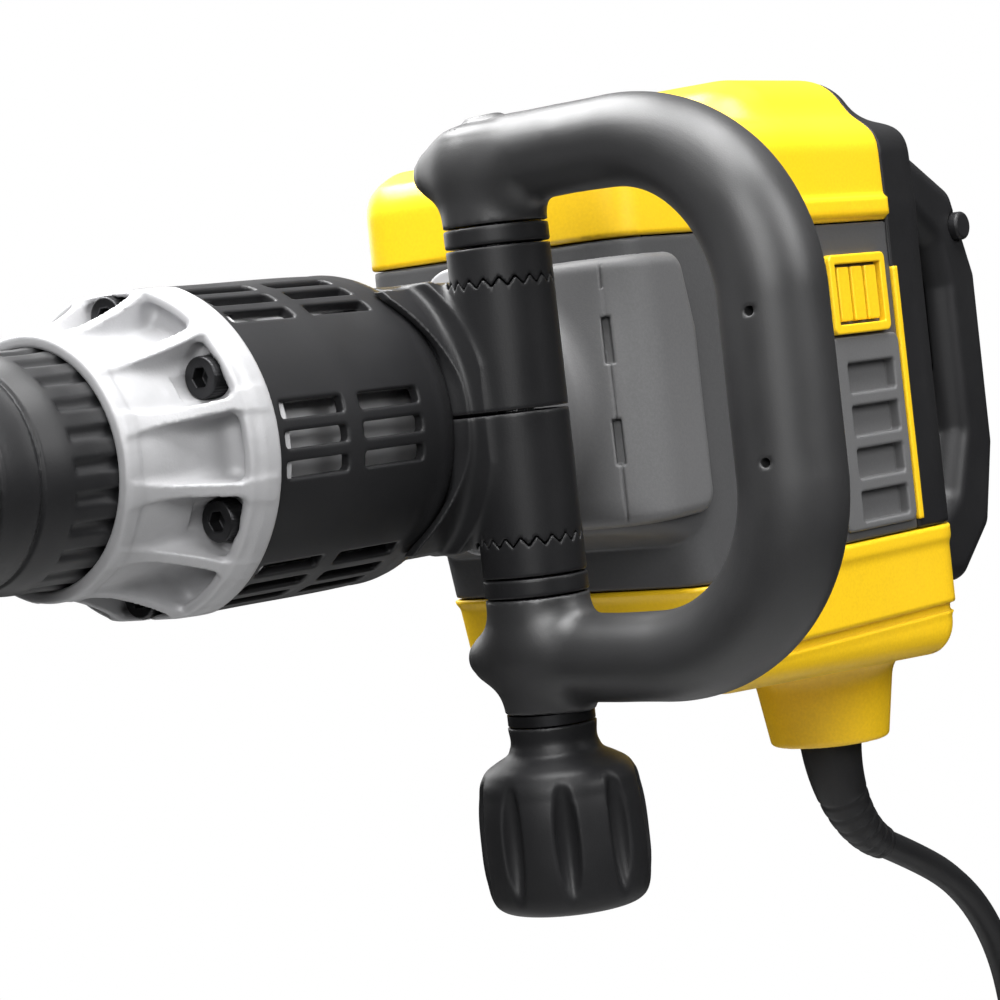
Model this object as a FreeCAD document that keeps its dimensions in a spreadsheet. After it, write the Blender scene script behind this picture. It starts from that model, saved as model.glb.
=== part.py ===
import FreeCAD, Part
import math
import os
import re

import Sketcher
from FreeCAD import Placement, Rotation, Vector

# Demolition hammer, 10 kg class, with an 18 mm hexalobular shank bore. Millimetres.
# Origin: mouth of the tool bore. +X points to the chisel, +Y to the tool's left, +Z up.
# Distances called "behind the mouth" run along -X from the origin.

doc = FreeCAD.newDocument("demolition_hammer")
sheet = doc.addObject("Spreadsheet::Sheet", "Sizes")

SIZES = [
    # tool line, radii and distances behind the mouth
    ("bore_r", 9.0), ("guide_len", 45.5), ("neck_r", 19.0), ("neck_len", 34.0),
    ("holder_r", 24.0), ("holder_rear", 138.0),
    ("beat_bore_r", 12.06), ("beat_bore_front", 100.0), ("cap_front", 6.0), ("cap_r", 27.0),
    ("sleeve_front", 28.0), ("sleeve_r", 35.8), ("sleeve_tail_r", 31.0), ("sleeve_tail", 92.0),
    ("sleeve_rear", 112.0), ("sleeve_bore_r", 24.15), ("segment_room_r", 26.5),
    ("segment_front", 46.0), ("segment_len", 16.0), ("segment_wide", 8.0), ("segment_in_r", 7.6),
    ("segment_out_r", 23.6),
    # nose casting
    ("nose_front", 79.0), ("nose_ring_r", 39.5), ("nose_bore_r", 36.3), ("flange_floor", 123.0),
    ("flange_r", 52.5), ("flange_rear", 130.0), ("lip_depth", 4.5), ("rib_thick", 4.2),
    ("flange_flat", 50.5), ("screw_ring_r", 43.2), ("spigot_r", 34.0), ("spigot_rear", 142.0),
    # barrel
    ("barrel_r", 40.0), ("barrel_rear", 300.0), ("cover_r", 51.3), ("cover_wall", 3.8),
    ("cover_rear", 214.0), ("cyl_r", 27.0), ("cyl_bore_r", 24.0), ("cyl_front", 150.0),
    ("cyl_rear", 311.0), ("ring_fit", 0.05), ("vent_long", 28.0), ("vent_high", 5.0),
    ("vent_gap", 7.5), ("vent_front", 134.5),
    # hammer mechanism
    ("piston_r", 23.95), ("piston_front", 255.0), ("piston_rear", 302.0), ("piston_wall", 3.45),
    ("striker_front", 208.0), ("striker_rear", 248.0), ("beat_front", 118.0), ("beat_r", 12.0),
    ("collar_front", 150.0), ("collar_rear", 164.0), ("collar_r", 20.0), ("beat_rear", 188.0),
    ("bush_front", 168.0), ("bush_rear", 180.0), ("pin_u", 294.0), ("throw", 12.0), ("crank_u", 376.0),
    ("rod_half", 6.0), ("crank_pin_r", 7.5), ("wrist_r", 4.0), ("journal_r", 9.0), ("web_r", 23.0),
    ("gear_module", 1.25), ("gear_teeth", 64.0), ("pinion_teeth", 16.0), ("gear_low", 25.0),
    ("gear_thick", 9.0), ("bearing_r", 16.0),
    # motor
    ("motor_u", 426.0), ("shaft_r", 6.0), ("shaft_low", 109.0), ("stator_r", 42.0),
    ("stator_bore_r", 27.5), ("stator_low", 95.0), ("stator_tall", 49.0), ("armature_r", 26.8),
    # gearcase
    ("case_front", 303.0), ("case_rear", 446.0), ("case_half", 46.0), ("case_low", 28.0),
    ("case_top", 37.0), ("lid_thick", 8.0),
    # side handle
    ("column_u", 236.0), ("column_y", 59.0), ("column_r", 17.0), ("collar_half", 41.5),
    ("collar_ring_r", 16.5), ("collar_end", 53.5), ("spacer_end", 60.0), ("bolt_r", 6.0),
    ("bolt_fit", 0.3), ("saddle_r", 47.0), ("saddle_wide", 41.0), ("hub_r", 21.5), ("hub_end", 98.2),
    ("arm_z", 81.5), ("grip_reach", 103.0), ("grip_turn_r", 51.0), ("grip_r", 16.2), ("core_r", 8.0),
    ("knob_low", 165.2), ("knob_r", 28.0), ("knob_neck_r", 14.4), ("flutes", 9.0),
    # housing, half width and the lines that divide it
    ("body_half", 60.0), ("wall", 3.5), ("band_top", 54.0), ("band_low", -66.0), ("rear_split", 474.0),
    ("body_front", 294.0), ("chin_front", 322.0), ("body_rear", 512.0), ("hump_front", 392.0),
    ("hump_top", 113.0), ("deck_top", 92.0), ("body_low", -120.0), ("seam", 0.15),
    ("boss_u", 486.0), ("boss_low", -150.0), ("boss_r", 29.0), ("boss_end_r", 24.0),
    # rear handle
    ("handle_half", 19.0), ("handle_rear", 612.0), ("trigger_front", 571.0),
    # mains cord
    ("cord_r", 6.0), ("boot_r", 12.4), ("boot_end_r", 7.2), ("boot_bend", 50.0), ("boot_turn", 66.0),
    ("coil_r", 63.0), ("coil_thick", 19.5), ("coil_x", -547.0), ("coil_z", -400.0),
]
for row, (alias, number) in enumerate(SIZES, start=1):
    sheet.set(f"A{row}", alias)
    sheet.set(f"B{row}", str(number))
    sheet.setAlias(f"B{row}", alias)
doc.recompute()

ALIASES = {alias for alias, number in SIZES}
PIECES = []
BACKWARDS = Rotation(Vector(0, 0, 1), 180)
UPWARDS = Rotation(Vector(0, 1, 0), -90)
ALONG_X = Rotation(Vector(0, 1, 0), 90)
ALONG_Y = Rotation(Vector(1, 0, 0), -90)
UPRIGHT = Rotation()


def size(alias):
    return float(sheet.get(alias))


def link(text):
    """Turn a sum of size names and numbers into an expression on the sheet."""
    return re.sub(r"[a-z_]+", lambda word: "Sizes." + word.group(0) if word.group(0) in ALIASES
                  else word.group(0), str(text))


def bind(item, **sums):
    for name, text in sums.items():
        item.setExpression(name, link(text))
    return item


def put(item, where, turn=UPRIGHT):
    """Place an object: where holds three sums on the sheet, turn its rotation."""
    item.Placement = Placement(Vector(), turn)
    for letter, text in zip("xyz", where):
        item.setExpression("Placement.Base." + letter, link(text))
    return item


def piece(node, item):
    """Name an object as one finished piece of the tool."""
    item.Label = node
    PIECES.append(item)
    return item


def rod(name, radius, length, where, turn=UPRIGHT):
    return put(bind(doc.addObject("Part::Cylinder", name), Radius=radius, Height=length), where, turn)


def block(name, sides, where):
    item = doc.addObject("Part::Box", name)
    return put(bind(item, Length=sides[0], Width=sides[1], Height=sides[2]), where)


def cut(name, base, tool):
    item = doc.addObject("Part::Cut", name)
    item.Base, item.Tool = base, tool
    return item


def common(name, base, tool):
    item = doc.addObject("Part::Common", name)
    item.Base, item.Tool = base, tool
    return item


def join(name, *items):
    item = doc.addObject("Part::MultiFuse", name)
    item.Shapes = list(items)
    return item


def group(name, *items):
    item = doc.addObject("Part::Compound", name)
    item.Links = list(items)
    return item


def mirrored(name, source, normal):
    item = doc.addObject("Part::Mirroring", name)
    item.Source, item.Normal = source, Vector(*normal)
    return item


def ring(name, outer, inner, length, where, turn=UPRIGHT):
    return cut(name, rod(name + "_disc", outer, length, where, turn),
               rod(name + "_hole", inner, length, where, turn))


def rounded(name, base, radius, wanted):
    """Round the edges of base for which wanted(edge) is true."""
    doc.recompute()
    item = doc.addObject("Part::Fillet", name)
    item.Base = base
    chosen = [n for n, edge in enumerate(base.Shape.Edges, start=1) if wanted(edge)]
    item.Edges = [(n, radius, radius) for n in chosen]
    return item


def outline(body, plane, points):
    """A closed sketch of straight sides whose corners are held by sums on the sheet."""
    planes = {feature.Role: feature for feature in body.Origin.OriginFeatures}
    sketch = body.newObject("Sketcher::SketchObject", body.Name + "_outline")
    sketch.AttachmentSupport = (planes[plane], [""])
    sketch.MapMode = "FlatFace"
    count = len(points)
    rough = [Vector(300 + 200 * math.cos(2 * math.pi * n / count),
                    300 + 200 * math.sin(2 * math.pi * n / count), 0) for n in range(count)]
    for n in range(count):
        sketch.addGeometry(Part.LineSegment(rough[n], rough[(n + 1) % count]))
    for n in range(count):
        sketch.addConstraint(Sketcher.Constraint("Coincident", n, 2, (n + 1) % count, 1))
    for n, corner in enumerate(points):
        for kind, start, text in zip(("DistanceX", "DistanceY"), rough[n], corner):
            if str(text) == "0":
                axis = -2 if kind == "DistanceX" else -1
                sketch.addConstraint(Sketcher.Constraint("PointOnObject", n, 1, axis))
            else:
                held = sketch.addConstraint(Sketcher.Constraint(kind, -1, 1, n, 1, start))
                sketch.setExpression(f"Constraints[{held}]", link(text))
    return sketch


def turned(name, points, where=("0", "0", "0"), turn=BACKWARDS):
    """A turned body: corners are (distance along its axis, radius)."""
    body = doc.addObject("PartDesign::Body", name)
    sketch = outline(body, "XY_Plane", points)
    spin = body.newObject("PartDesign::Revolution", name + "_turned")
    spin.Profile = sketch
    spin.ReferenceAxis = (sketch, ["H_Axis"])
    spin.Angle = 360
    return put(body, where, turn)


def side_profile(name, points, half_width):
    """A body cut to a side view: corners are (distance behind the mouth, height)."""
    body = doc.addObject("PartDesign::Body", name)
    sketch = outline(body, "XZ_Plane", points)
    pad = body.newObject("PartDesign::Pad", name + "_pad")
    pad.Profile = sketch
    pad.Midplane = True
    bind(pad, Length=f"2 * ({half_width})")
    return put(body, ("0", "0", "0"), BACKWARDS)


def around_x(name, shape_maker, angles):
    """Copies of one object, turned about the tool's axis by each angle in degrees."""
    copies = []
    for number, angle in enumerate(angles):
        item = shape_maker(f"{name}_{number}")
        doc.recompute()
        held = doc.addObject("Part::Compound", f"{name}_{number}_turned")
        held.Links = [item]
        held.Placement = Placement(Vector(), Rotation(Vector(1, 0, 0), angle))
        copies.append(held)
    return group(name, *copies)


def made(name, shape):
    """A feature whose shape is worked out from the sheet's sizes."""
    item = doc.addObject("Part::Feature", name)
    item.Shape = shape
    return item


def coil_spring(radius, wire, length, turns, start, turn):
    rise = length / turns / 2
    reach = math.hypot(radius, rise / 2)
    arcs = []
    for i in range(int(2 * turns)):
        side = 1 if i % 2 == 0 else -1
        arcs.append(Part.Arc(Vector(side * radius, 0, i * rise),
                             Vector(0, side * reach, (i + 0.5) * rise),
                             Vector(-side * radius, 0, (i + 1) * rise)).toShape())
    section = Part.Wire(Part.makeCircle(wire, Vector(radius, 0, 0), Vector(0, 1, 0)))
    solid = Part.Wire(arcs).makePipeShell([section], True, False)
    solid.Placement = Placement(start, turn)
    return solid


# ---------------------------------------------------------------- tool holder and lock
def tool_holder():
    blank = turned("holder_blank", [
        ("0", "bore_r"), ("0", "neck_r"), ("neck_len", "neck_r"), ("neck_len", "holder_r"),
        ("holder_rear", "holder_r"), ("holder_rear", "beat_bore_r"),
        ("beat_bore_front", "beat_bore_r"), ("beat_bore_front - 4", "bore_r + 0.5"),
        ("guide_len", "bore_r + 0.5"), ("guide_len", "bore_r")])
    window = block("holder_window", ("segment_len + 1", "2 * holder_r + 4", "segment_wide + 0.6"),
                   ("-segment_front - segment_len - 0.5", "-holder_r - 2", "-segment_wide / 2 - 0.3"))
    spline = around_x("holder_splines", lambda name: block(
        name, ("24", "4", "2.6"), ("-92", "-2", "bore_r - 1.8")), (0, 120, 240))
    piece("tool_holder", join("holder_splined", cut("holder_windowed", blank, window), spline))
    left = block("segment_box", ("segment_len", "segment_out_r - segment_in_r", "segment_wide"),
                 ("-segment_front - segment_len", "segment_in_r", "-segment_wide / 2"))
    piece("locking_segment_left", left)
    piece("locking_segment_right", mirrored("segment_copy", left, (0, 1, 0)))
    piece("dust_cap", turned("dust_cap_body", [
        ("0", "bore_r + 0.8"), ("0", "bore_r + 4"), ("4", "cap_r - 4"), ("9", "cap_r - 1"),
        ("24", "cap_r"), ("28", "cap_r"), ("28", "neck_r + 0.1"), ("5.9", "neck_r + 0.1"),
        ("5.9", "bore_r + 0.8")], ("cap_front", "0", "0")))


def lock_sleeve():
    piece("lock_sleeve", turned("sleeve_body", [
        ("sleeve_front", "sleeve_bore_r"), ("sleeve_front", "sleeve_r - 6"),
        ("sleeve_front + 2", "sleeve_r - 4"), ("sleeve_front + 12", "sleeve_r - 2.5"),
        ("sleeve_front + 20", "sleeve_r - 2.5"), ("sleeve_front + 32", "sleeve_r"),
        ("sleeve_tail", "sleeve_r"), ("sleeve_tail", "sleeve_tail_r"),
        ("sleeve_rear", "sleeve_tail_r"), ("sleeve_rear", "sleeve_tail_r - 1.4"),
        ("88", "sleeve_tail_r - 1.4"), ("88", "sleeve_bore_r"), ("76", "sleeve_bore_r"),
        ("76", "segment_room_r"), ("32", "segment_room_r"), ("32", "sleeve_bore_r")]))
    piece("sleeve_spring", made("sleeve_spring_wire", coil_spring(
        27.4, 1.1, 34.0, 6, Vector(-124.4, 0, 0), ALONG_X)))


# ---------------------------------------------------------------- nose
def cap_screw(name, ring_r, head_front, shank_len):
    """Socket cap screw along the tool's axis, its head towards the chisel."""
    head = rod(name + "_head", "6.5", "8", (f"-({head_front}) - 8", ring_r, "0"), ALONG_X)
    shank = rod(name + "_shank", "4", shank_len, (f"-({head_front}) - 8 - ({shank_len})", ring_r, "0"),
                ALONG_X)
    socket = doc.addObject("Part::Prism", name + "_socket")
    bind(socket, Circumradius="3.5", Height="5")
    put(socket, (f"-({head_front}) - 4.5", ring_r, "0"), ALONG_X)
    return cut(name + "_screw", join(name + "_solid", head, shank), socket)


SCREW_ANGLES = range(30, 390, 60)


def nose_housing():
    body = turned("nose_body", [
        ("nose_front", "nose_bore_r"), ("nose_front", "nose_ring_r - 1"),
        ("nose_front + 1", "nose_ring_r"), ("100", "nose_ring_r - 0.3"), ("119", "nose_ring_r - 2.1"),
        ("flange_floor", "nose_ring_r - 2.6"), ("flange_floor", "flange_r - 2.8"),
        ("flange_floor - lip_depth", "flange_r - 2.3"), ("flange_floor - lip_depth", "flange_r - 0.8"),
        ("flange_floor - lip_depth + 1", "flange_r"), ("flange_rear", "flange_r"),
        ("flange_rear", "spigot_r"), ("spigot_rear", "spigot_r"), ("spigot_rear", "holder_r + 0.08"),
        ("126", "holder_r + 0.08"), ("126", "sleeve_tail_r + 0.5"), ("107", "sleeve_tail_r + 0.5"),
        ("107", "nose_bore_r")])
    sketch = outline(body, "XY_Plane", [
        ("83", "nose_bore_r + 0.9"), ("83", "nose_ring_r + 0.3"), ("119", "flange_r - 1.4"),
        ("125", "flange_r - 1.4"), ("125", "nose_bore_r + 0.3")])
    rib = body.newObject("PartDesign::Pad", "nose_rib")
    rib.Profile = sketch
    rib.Midplane = True
    bind(rib, Length="rib_thick")
    axes = {feature.Role: feature for feature in body.Origin.OriginFeatures}
    ribs = body.newObject("PartDesign::PolarPattern", "nose_ribs")
    ribs.Originals = [rib]
    ribs.Axis = (axes["X_Axis"], [""])
    ribs.Angle = 360
    ribs.Occurrences = 12
    body.Tip = ribs
    body.Placement = Placement(Vector(), Rotation(Vector(1, 0, 0), 15).multiply(BACKWARDS))
    seats = around_x("nose_seats", lambda name: join(
        name, rod(name + "_hole", "4.2", "12", ("-132", "screw_ring_r", "0"), ALONG_X),
        rod(name + "_seat", "6.8", "12", ("-flange_floor", "screw_ring_r", "0"), ALONG_X)),
        SCREW_ANGLES)
    flats = group("nose_flats", *[
        block(f"nose_flat_{n}", ("60", "120", "20"), ("-140", "-60", height))
        for n, height in enumerate(("flange_flat", "-flange_flat - 20"))])
    drilled = cut("nose_drilled", body, seats)
    piece("nose_housing", cut("nose_flatted", drilled, flats))
    piece("nose_screws", around_x("nose_screw_set", lambda name: cap_screw(
        name, "screw_ring_r", "flange_floor - 8", "13.5"), SCREW_ANGLES))


# ---------------------------------------------------------------- barrel
def barrel():
    tube = turned("barrel_body", [
        ("flange_rear + 0.1", "spigot_r + 0.1"), ("flange_rear + 0.1", "flange_r - 3"),
        ("138", "flange_r - 3"),
        ("138", "barrel_r"), ("barrel_rear", "barrel_r"), ("barrel_rear", "cyl_r + ring_fit"),
        ("284", "cyl_r + ring_fit"), ("284", "36.5"), ("164", "36.5"), ("164", "cyl_r + ring_fit"),
        ("146", "cyl_r + ring_fit"), ("146", "spigot_r + 0.1")])
    holes = around_x("barrel_holes", lambda name: rod(
        name, "4.05", "12", ("-140", "screw_ring_r", "0"), ALONG_X), SCREW_ANGLES)
    piece("barrel_housing", cut("barrel_drilled", tube, holes))
    shell = turned("cover_body", [
        ("flange_rear + 0.2", "flange_r - 2.7"), ("flange_rear + 0.2", "cover_r"),
        ("cover_rear - 2", "cover_r"), ("cover_rear", "cover_r - 2"),
        ("cover_rear", "barrel_r + 0.3"), ("cover_rear - 4", "barrel_r + 0.3"),
        ("cover_rear - 4", "cover_r - cover_wall"), ("139", "cover_r - cover_wall"),
        ("139", "flange_r - 2.7")])
    rows = [turn + lean for turn in range(0, 360, 60) for lean in (-10.3, 0, 10.3)]
    slots = group("cover_slots", *[
        around_x(f"cover_row_{n}", lambda name: block(
            name, ("vent_long", "12", "vent_high"), (f"-({front}) - vent_long", "42", "-vent_high / 2")),
            rows) for n, front in enumerate(("vent_front", "vent_front + vent_long + vent_gap"))])
    piece("barrel_cover", cut("cover_slotted", shell, slots))
    piece("cylinder_tube", ring("cyl", "cyl_r", "cyl_bore_r", "cyl_rear - cyl_front",
                                ("-cyl_rear", "0", "0"), ALONG_X))


# ---------------------------------------------------------------- hammer mechanism
def hammer_line():
    piece("beat_piece", turned("beat_body", [
        ("beat_front", "0"), ("beat_front", "beat_r - 1.5"), ("beat_front + 1.5", "beat_r"),
        ("collar_front", "beat_r"), ("collar_front", "collar_r - 2"), ("collar_front + 2", "collar_r"),
        ("collar_rear", "collar_r"), ("collar_rear", "beat_r + 1"), ("beat_rear - 2", "beat_r + 1"),
        ("beat_rear", "beat_r - 1"), ("beat_rear", "0")]))
    piece("beat_bush", ring("bush", "cyl_bore_r - 0.02", "beat_r + 1.05", "bush_rear - bush_front",
                            ("-bush_rear", "0", "0"), ALONG_X))
    groove = 2.6
    for name, front, rear, seal in (("striker", "striker_front", "striker_rear", "striker_seal"),
                                    ("piston", "piston_front", "piston_rear", "piston_seal")):
        at_seal = f"{front} + 5" if name == "striker" else f"{front} + 3"
        corners = [(front, "0"), (front, "piston_r - 1"), (f"{front} + 1", "piston_r")]
        if name == "piston":
            corners[1:] = [(front, "piston_r")]
        near, far = f"{at_seal} - {groove / 2}", f"{at_seal} + {groove / 2}"
        corners += [(near, "piston_r"), (near, "piston_r - 2.4"), (far, "piston_r - 2.4"),
                    (far, "piston_r"), (rear, "piston_r")]
        if name == "striker":
            corners += [(rear, "0")]
        else:
            corners += [(rear, "piston_r - piston_wall"), (f"{front} + 6", "piston_r - piston_wall"),
                        (f"{front} + 6", "0")]
        piece(name, turned(name + "_body", corners))
        torus = doc.addObject("Part::Torus", seal + "_ring")
        bind(torus, Radius1="piston_r - 1.22", Radius2="1.15")
        piece(seal, put(torus, (f"-({at_seal})", "0", "0"), ALONG_X))


def crank_train():
    height = "2 * rod_half"
    eye = rod("rod_small_eye", "7", height, ("-pin_u", "0", "-rod_half"))
    big = rod("rod_big_eye", "12", height, ("-crank_u + throw", "0", "-rod_half"))
    shank = block("rod_shank", ("crank_u - throw - pin_u - 4", "9", height),
                  ("-crank_u + throw + 2", "-4.5", "-rod_half"))
    bores = group("rod_bores",
                  rod("rod_pin_bore", "wrist_r", height, ("-pin_u", "0", "-rod_half")),
                  rod("rod_crank_bore", "crank_pin_r + 0.05", height,
                      ("-crank_u + throw", "0", "-rod_half")))
    piece("connecting_rod", cut("rod_bored", join("rod_solid", eye, big, shank), bores))
    piece("wrist_pin", rod("wrist", "wrist_r", "22", ("-pin_u", "0", "-11")))
    piece("crankshaft", join(
        "crank_solid", rod("crank_journal", "journal_r", "30.2", ("-crank_u", "0", "14.4")),
        rod("crank_web", "web_r", "7.2", ("-crank_u", "0", "7.2")),
        rod("crank_pin", "crank_pin_r", "14.4", ("-crank_u + throw", "0", "-7.2"))))


def involute_gear(teeth, bore_r, centre, first_angle):
    """Spur gear blank with 20 degree involute teeth, standing on the gear plane."""
    module, backlash = size("gear_module"), 0.14
    pitch_r = module * teeth / 2
    tip_r, root_r = pitch_r + 0.94 * module, pitch_r - 1.25 * module
    base_r = pitch_r * math.cos(math.radians(20))

    def spread(radius):
        lean = math.acos(min(1.0, base_r / radius))
        return math.tan(lean) - lean

    half_pitch = math.pi / (2 * teeth) - backlash / (2 * pitch_r)
    radii = [max(base_r, root_r) + (tip_r - max(base_r, root_r)) * n / 5 for n in range(6)]
    flank = [(root_r, half_pitch + spread(pitch_r))] if base_r > root_r else []
    flank += [(radius, half_pitch + spread(pitch_r) - spread(radius)) for radius in radii]
    corners = []
    for tooth in range(teeth):
        middle = first_angle + 2 * math.pi * tooth / teeth
        for radius, half in flank:
            corners.append((radius, middle - half))
        for radius, half in reversed(flank):
            corners.append((radius, middle + half))
    low = Vector(centre, 0, size("gear_low"))
    rim = [low + Vector(r * math.cos(a), r * math.sin(a), 0) for r, a in corners]
    hole = Part.Wire(Part.makeCircle(bore_r, low))
    face = Part.Face([Part.makePolygon(rim + rim[:1]), hole])
    face.validate()
    return face.extrude(Vector(0, 0, size("gear_thick")))


def gears():
    teeth, pinion_teeth = int(size("gear_teeth")), int(size("pinion_teeth"))
    piece("crank_gear", made("crank_gear_blank", involute_gear(
        teeth, size("journal_r"), -size("crank_u"), math.pi)))
    pinion = made("motor_pinion_blank", involute_gear(
        pinion_teeth, size("shaft_r") - 1, -size("motor_u"), math.pi / pinion_teeth))
    piece("motor_shaft", join("shaft_with_pinion", pinion, rod(
        "shaft", "shaft_r", "shaft_low + case_top + lid_thick - 1", ("-motor_u", "0", "-shaft_low"))))


def ball_bearings():
    spots = (("motor_u", "12.98", "shaft_r", "-shaft_low", "6"),
             ("motor_u", "12.98", "shaft_r", "case_top + 0.2", "7.4"),
             ("crank_u", "bearing_r - 0.02", "journal_r", "15", "7.4"),
             ("crank_u", "bearing_r - 0.02", "journal_r", "case_top + 0.2", "7.4"))
    piece("ball_bearings", group("bearing_set", *[
        ring(f"bearing_{n}", outer, f"{shaft} + 0.03", tall, (f"-{axis}", "0", low))
        for n, (axis, outer, shaft, low, tall) in enumerate(spots)]))


def gearcase():
    long, wide = "case_rear - case_front", "2 * case_half"
    blank = block("case_block", (long, wide, "case_low + case_top"),
                  ("-case_rear", "-case_half", "-case_low"))
    holes = group(
        "case_holes",
        block("case_crank_room", ("103", "80", "35"), ("-414", "-40", "-20")),
        block("case_gear_room", ("112", "86", "case_top - 22.5"), ("-440", "-43", "22.5")),
        rod("case_cylinder_seat", "cyl_r + ring_fit", "9", ("-311.5", "0", "0"), ALONG_X),
        rod("case_piston_room", "piston_r + 0.4", "27", ("-330", "0", "0"), ALONG_X),
        rod("case_bearing_seat", "bearing_r", "8", ("-crank_u", "0", "14.8")),
        rod("case_shaft_hole", "shaft_r + 2", "60", ("-motor_u", "0", "-30")))
    piece("crankcase", cut("case_cut", blank, holes))
    lid = block("lid_block", (long, wide, "lid_thick"), ("-case_rear", "-case_half", "case_top + 0.1"))
    seats = group("lid_seats",
                  rod("lid_crank_seat", "bearing_r", "12", ("-crank_u", "0", "case_top - 1")),
                  rod("lid_motor_seat", "13", "12", ("-motor_u", "0", "case_top - 1")))
    piece("crankcase_lid", cut("lid_cut", lid, seats))


# ---------------------------------------------------------------- motor
def motor():
    centre = "-motor_u"
    piece("stator", ring("stator_pack", "stator_r", "stator_bore_r", "stator_tall",
                         (centre, "0", "-stator_low")))
    piece("armature", group(
        "armature_set",
        ring("armature_pack", "armature_r", "shaft_r", "stator_tall - 4", (centre, "0", "-stator_low + 2")),
        ring("commutator_ring", "12.8", "shaft_r", "8", (centre, "0", "-102.6"))))
    hub = ring("fan_hub", "12", "shaft_r", "10", (centre, "0", "-43.5"))
    disc = ring("fan_disc", "36", "11", "2", (centre, "0", "-43.5"))
    blades = []
    for n in range(10):
        blade = block(f"fan_blade_{n}", ("34", "1.6", "10"), (centre, "0", "-43.5"))
        blade.Placement = Placement(Vector(-size("motor_u"), 0, -43.5), Rotation(Vector(0, 0, 1), 36 * n))
        blade.setExpression("Placement.Base.x", link(centre))
        blades.append(blade)
    spokes = cut("fan_spokes", join("fan_blades", *blades),
                 rod("fan_blade_bore", "11", "14", (centre, "0", "-45")))
    piece("cooling_fan", join("fan_whole", hub, disc, spokes))
    bracket = ring("bracket", "41", "13", "6", (centre, "0", "-shaft_low"))
    holders, carbons = [], []
    for n, near in enumerate(("13.2", "-27.2")):
        low = "-103.1"
        outer = block(f"brush_sleeve_{n}", ("9", "12", "8.6"), (centre + " - 4.5", near + " + 1", low))
        inner = block(f"brush_room_{n}", ("6", "16", "6"), (centre + " - 3", near + " - 1", low + " + 1.6"))
        holders.append(cut(f"brush_holder_{n}", outer, inner))
        carbons.append(block(f"carbon_{n}", ("5.8", "14", "5.8"), (centre + " - 2.9", near, low + " + 1.7")))
    piece("brush_plate", join("brush_plate_solid", bracket, *holders))
    piece("carbon_brushes", group("carbon_set", *carbons))
    piece("speed_module", rounded("module_rounded", block(
        "module_box", ("52", "74", "34"), ("-456", "-37", "60")), 4, lambda edge: True))


# ---------------------------------------------------------------- side handle
def clamp():
    x, y = "-column_u", "column_y"
    column = rod("clamp_column", "column_r", "collar_half - 0.4", (x, y, "0.4"))
    saddle = common("clamp_saddle", rod("saddle_disc", "saddle_r", "saddle_wide",
                                        ("-column_u - 20", "0", "0"), ALONG_X),
                    block("saddle_reach", ("80", "80", "60"), ("-280", "-8", "0.4")))
    web = block("clamp_web", ("25", "column_y - 18", "collar_half - 1.4"), ("-column_u - 12.5", "18", "0.4"))
    bore = group("clamp_bores",
                 rod("clamp_barrel_bore", "barrel_r + 0.3", "120", ("-300", "0", "0"), ALONG_X),
                 rod("clamp_bolt_bore", "bolt_r + bolt_fit", "100", (x, y, "-20")))
    upper = cut("clamp_upper_cut", join("clamp_solid", column, saddle, web), bore)
    piece("clamp_upper", upper)
    piece("clamp_lower", mirrored("clamp_copy", upper, (0, 0, 1)))
    strap = ring("strap", "barrel_r + 2.8", "barrel_r + 0.3", "24", (x + " - 12", "0", "0"), ALONG_X)
    piece("clamp_strap", cut("strap_cut", strap, block(
        "strap_room", ("60", "80", "120"), ("-270", "-8.3", "-60"))))
    for name, outer, low, high in (("tooth_collar", "collar_ring_r", "collar_half + 0.3", "collar_end"),
                                   ("spacer_ring", "collar_ring_r + 0.2", "collar_end + 0.2", "spacer_end")):
        upper = ring(name + "_top", outer, "bolt_r + bolt_fit", f"{high} - ({low})", (x, y, low))
        piece(name + "s", group(name + "_pair", upper, mirrored(name + "_copy", upper, (0, 0, 1))))


def handle_line(start_y):
    """Centre line of the loop in the plane across the barrel: two arms, two turns and the grip."""
    x, arm, turn = -size("column_u"), size("arm_z"), size("grip_turn_r")
    outside = size("column_y") + size("grip_reach")
    bend_y, bend_z = outside - turn, arm - turn
    lean = turn * math.sqrt(0.5)

    def at(y, z):
        return Vector(x, y, z)

    return Part.Wire([
        Part.LineSegment(at(start_y, arm), at(bend_y, arm)).toShape(),
        Part.Arc(at(bend_y, arm), at(bend_y + lean, bend_z + lean), at(outside, bend_z)).toShape(),
        Part.LineSegment(at(outside, bend_z), at(outside, -bend_z)).toShape(),
        Part.Arc(at(outside, -bend_z), at(bend_y + lean, -bend_z - lean), at(bend_y, -arm)).toShape(),
        Part.LineSegment(at(bend_y, -arm), at(start_y, -arm)).toShape()])


def pipe(path, radius):
    """Round bar of one radius along a path."""
    first = path.OrderedEdges[0]
    start = first.valueAt(first.FirstParameter)
    way = first.tangentAt(first.FirstParameter)
    section = Part.Wire(Part.makeCircle(radius, start, way))
    return path.makePipeShell([section], True, True)


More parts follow.
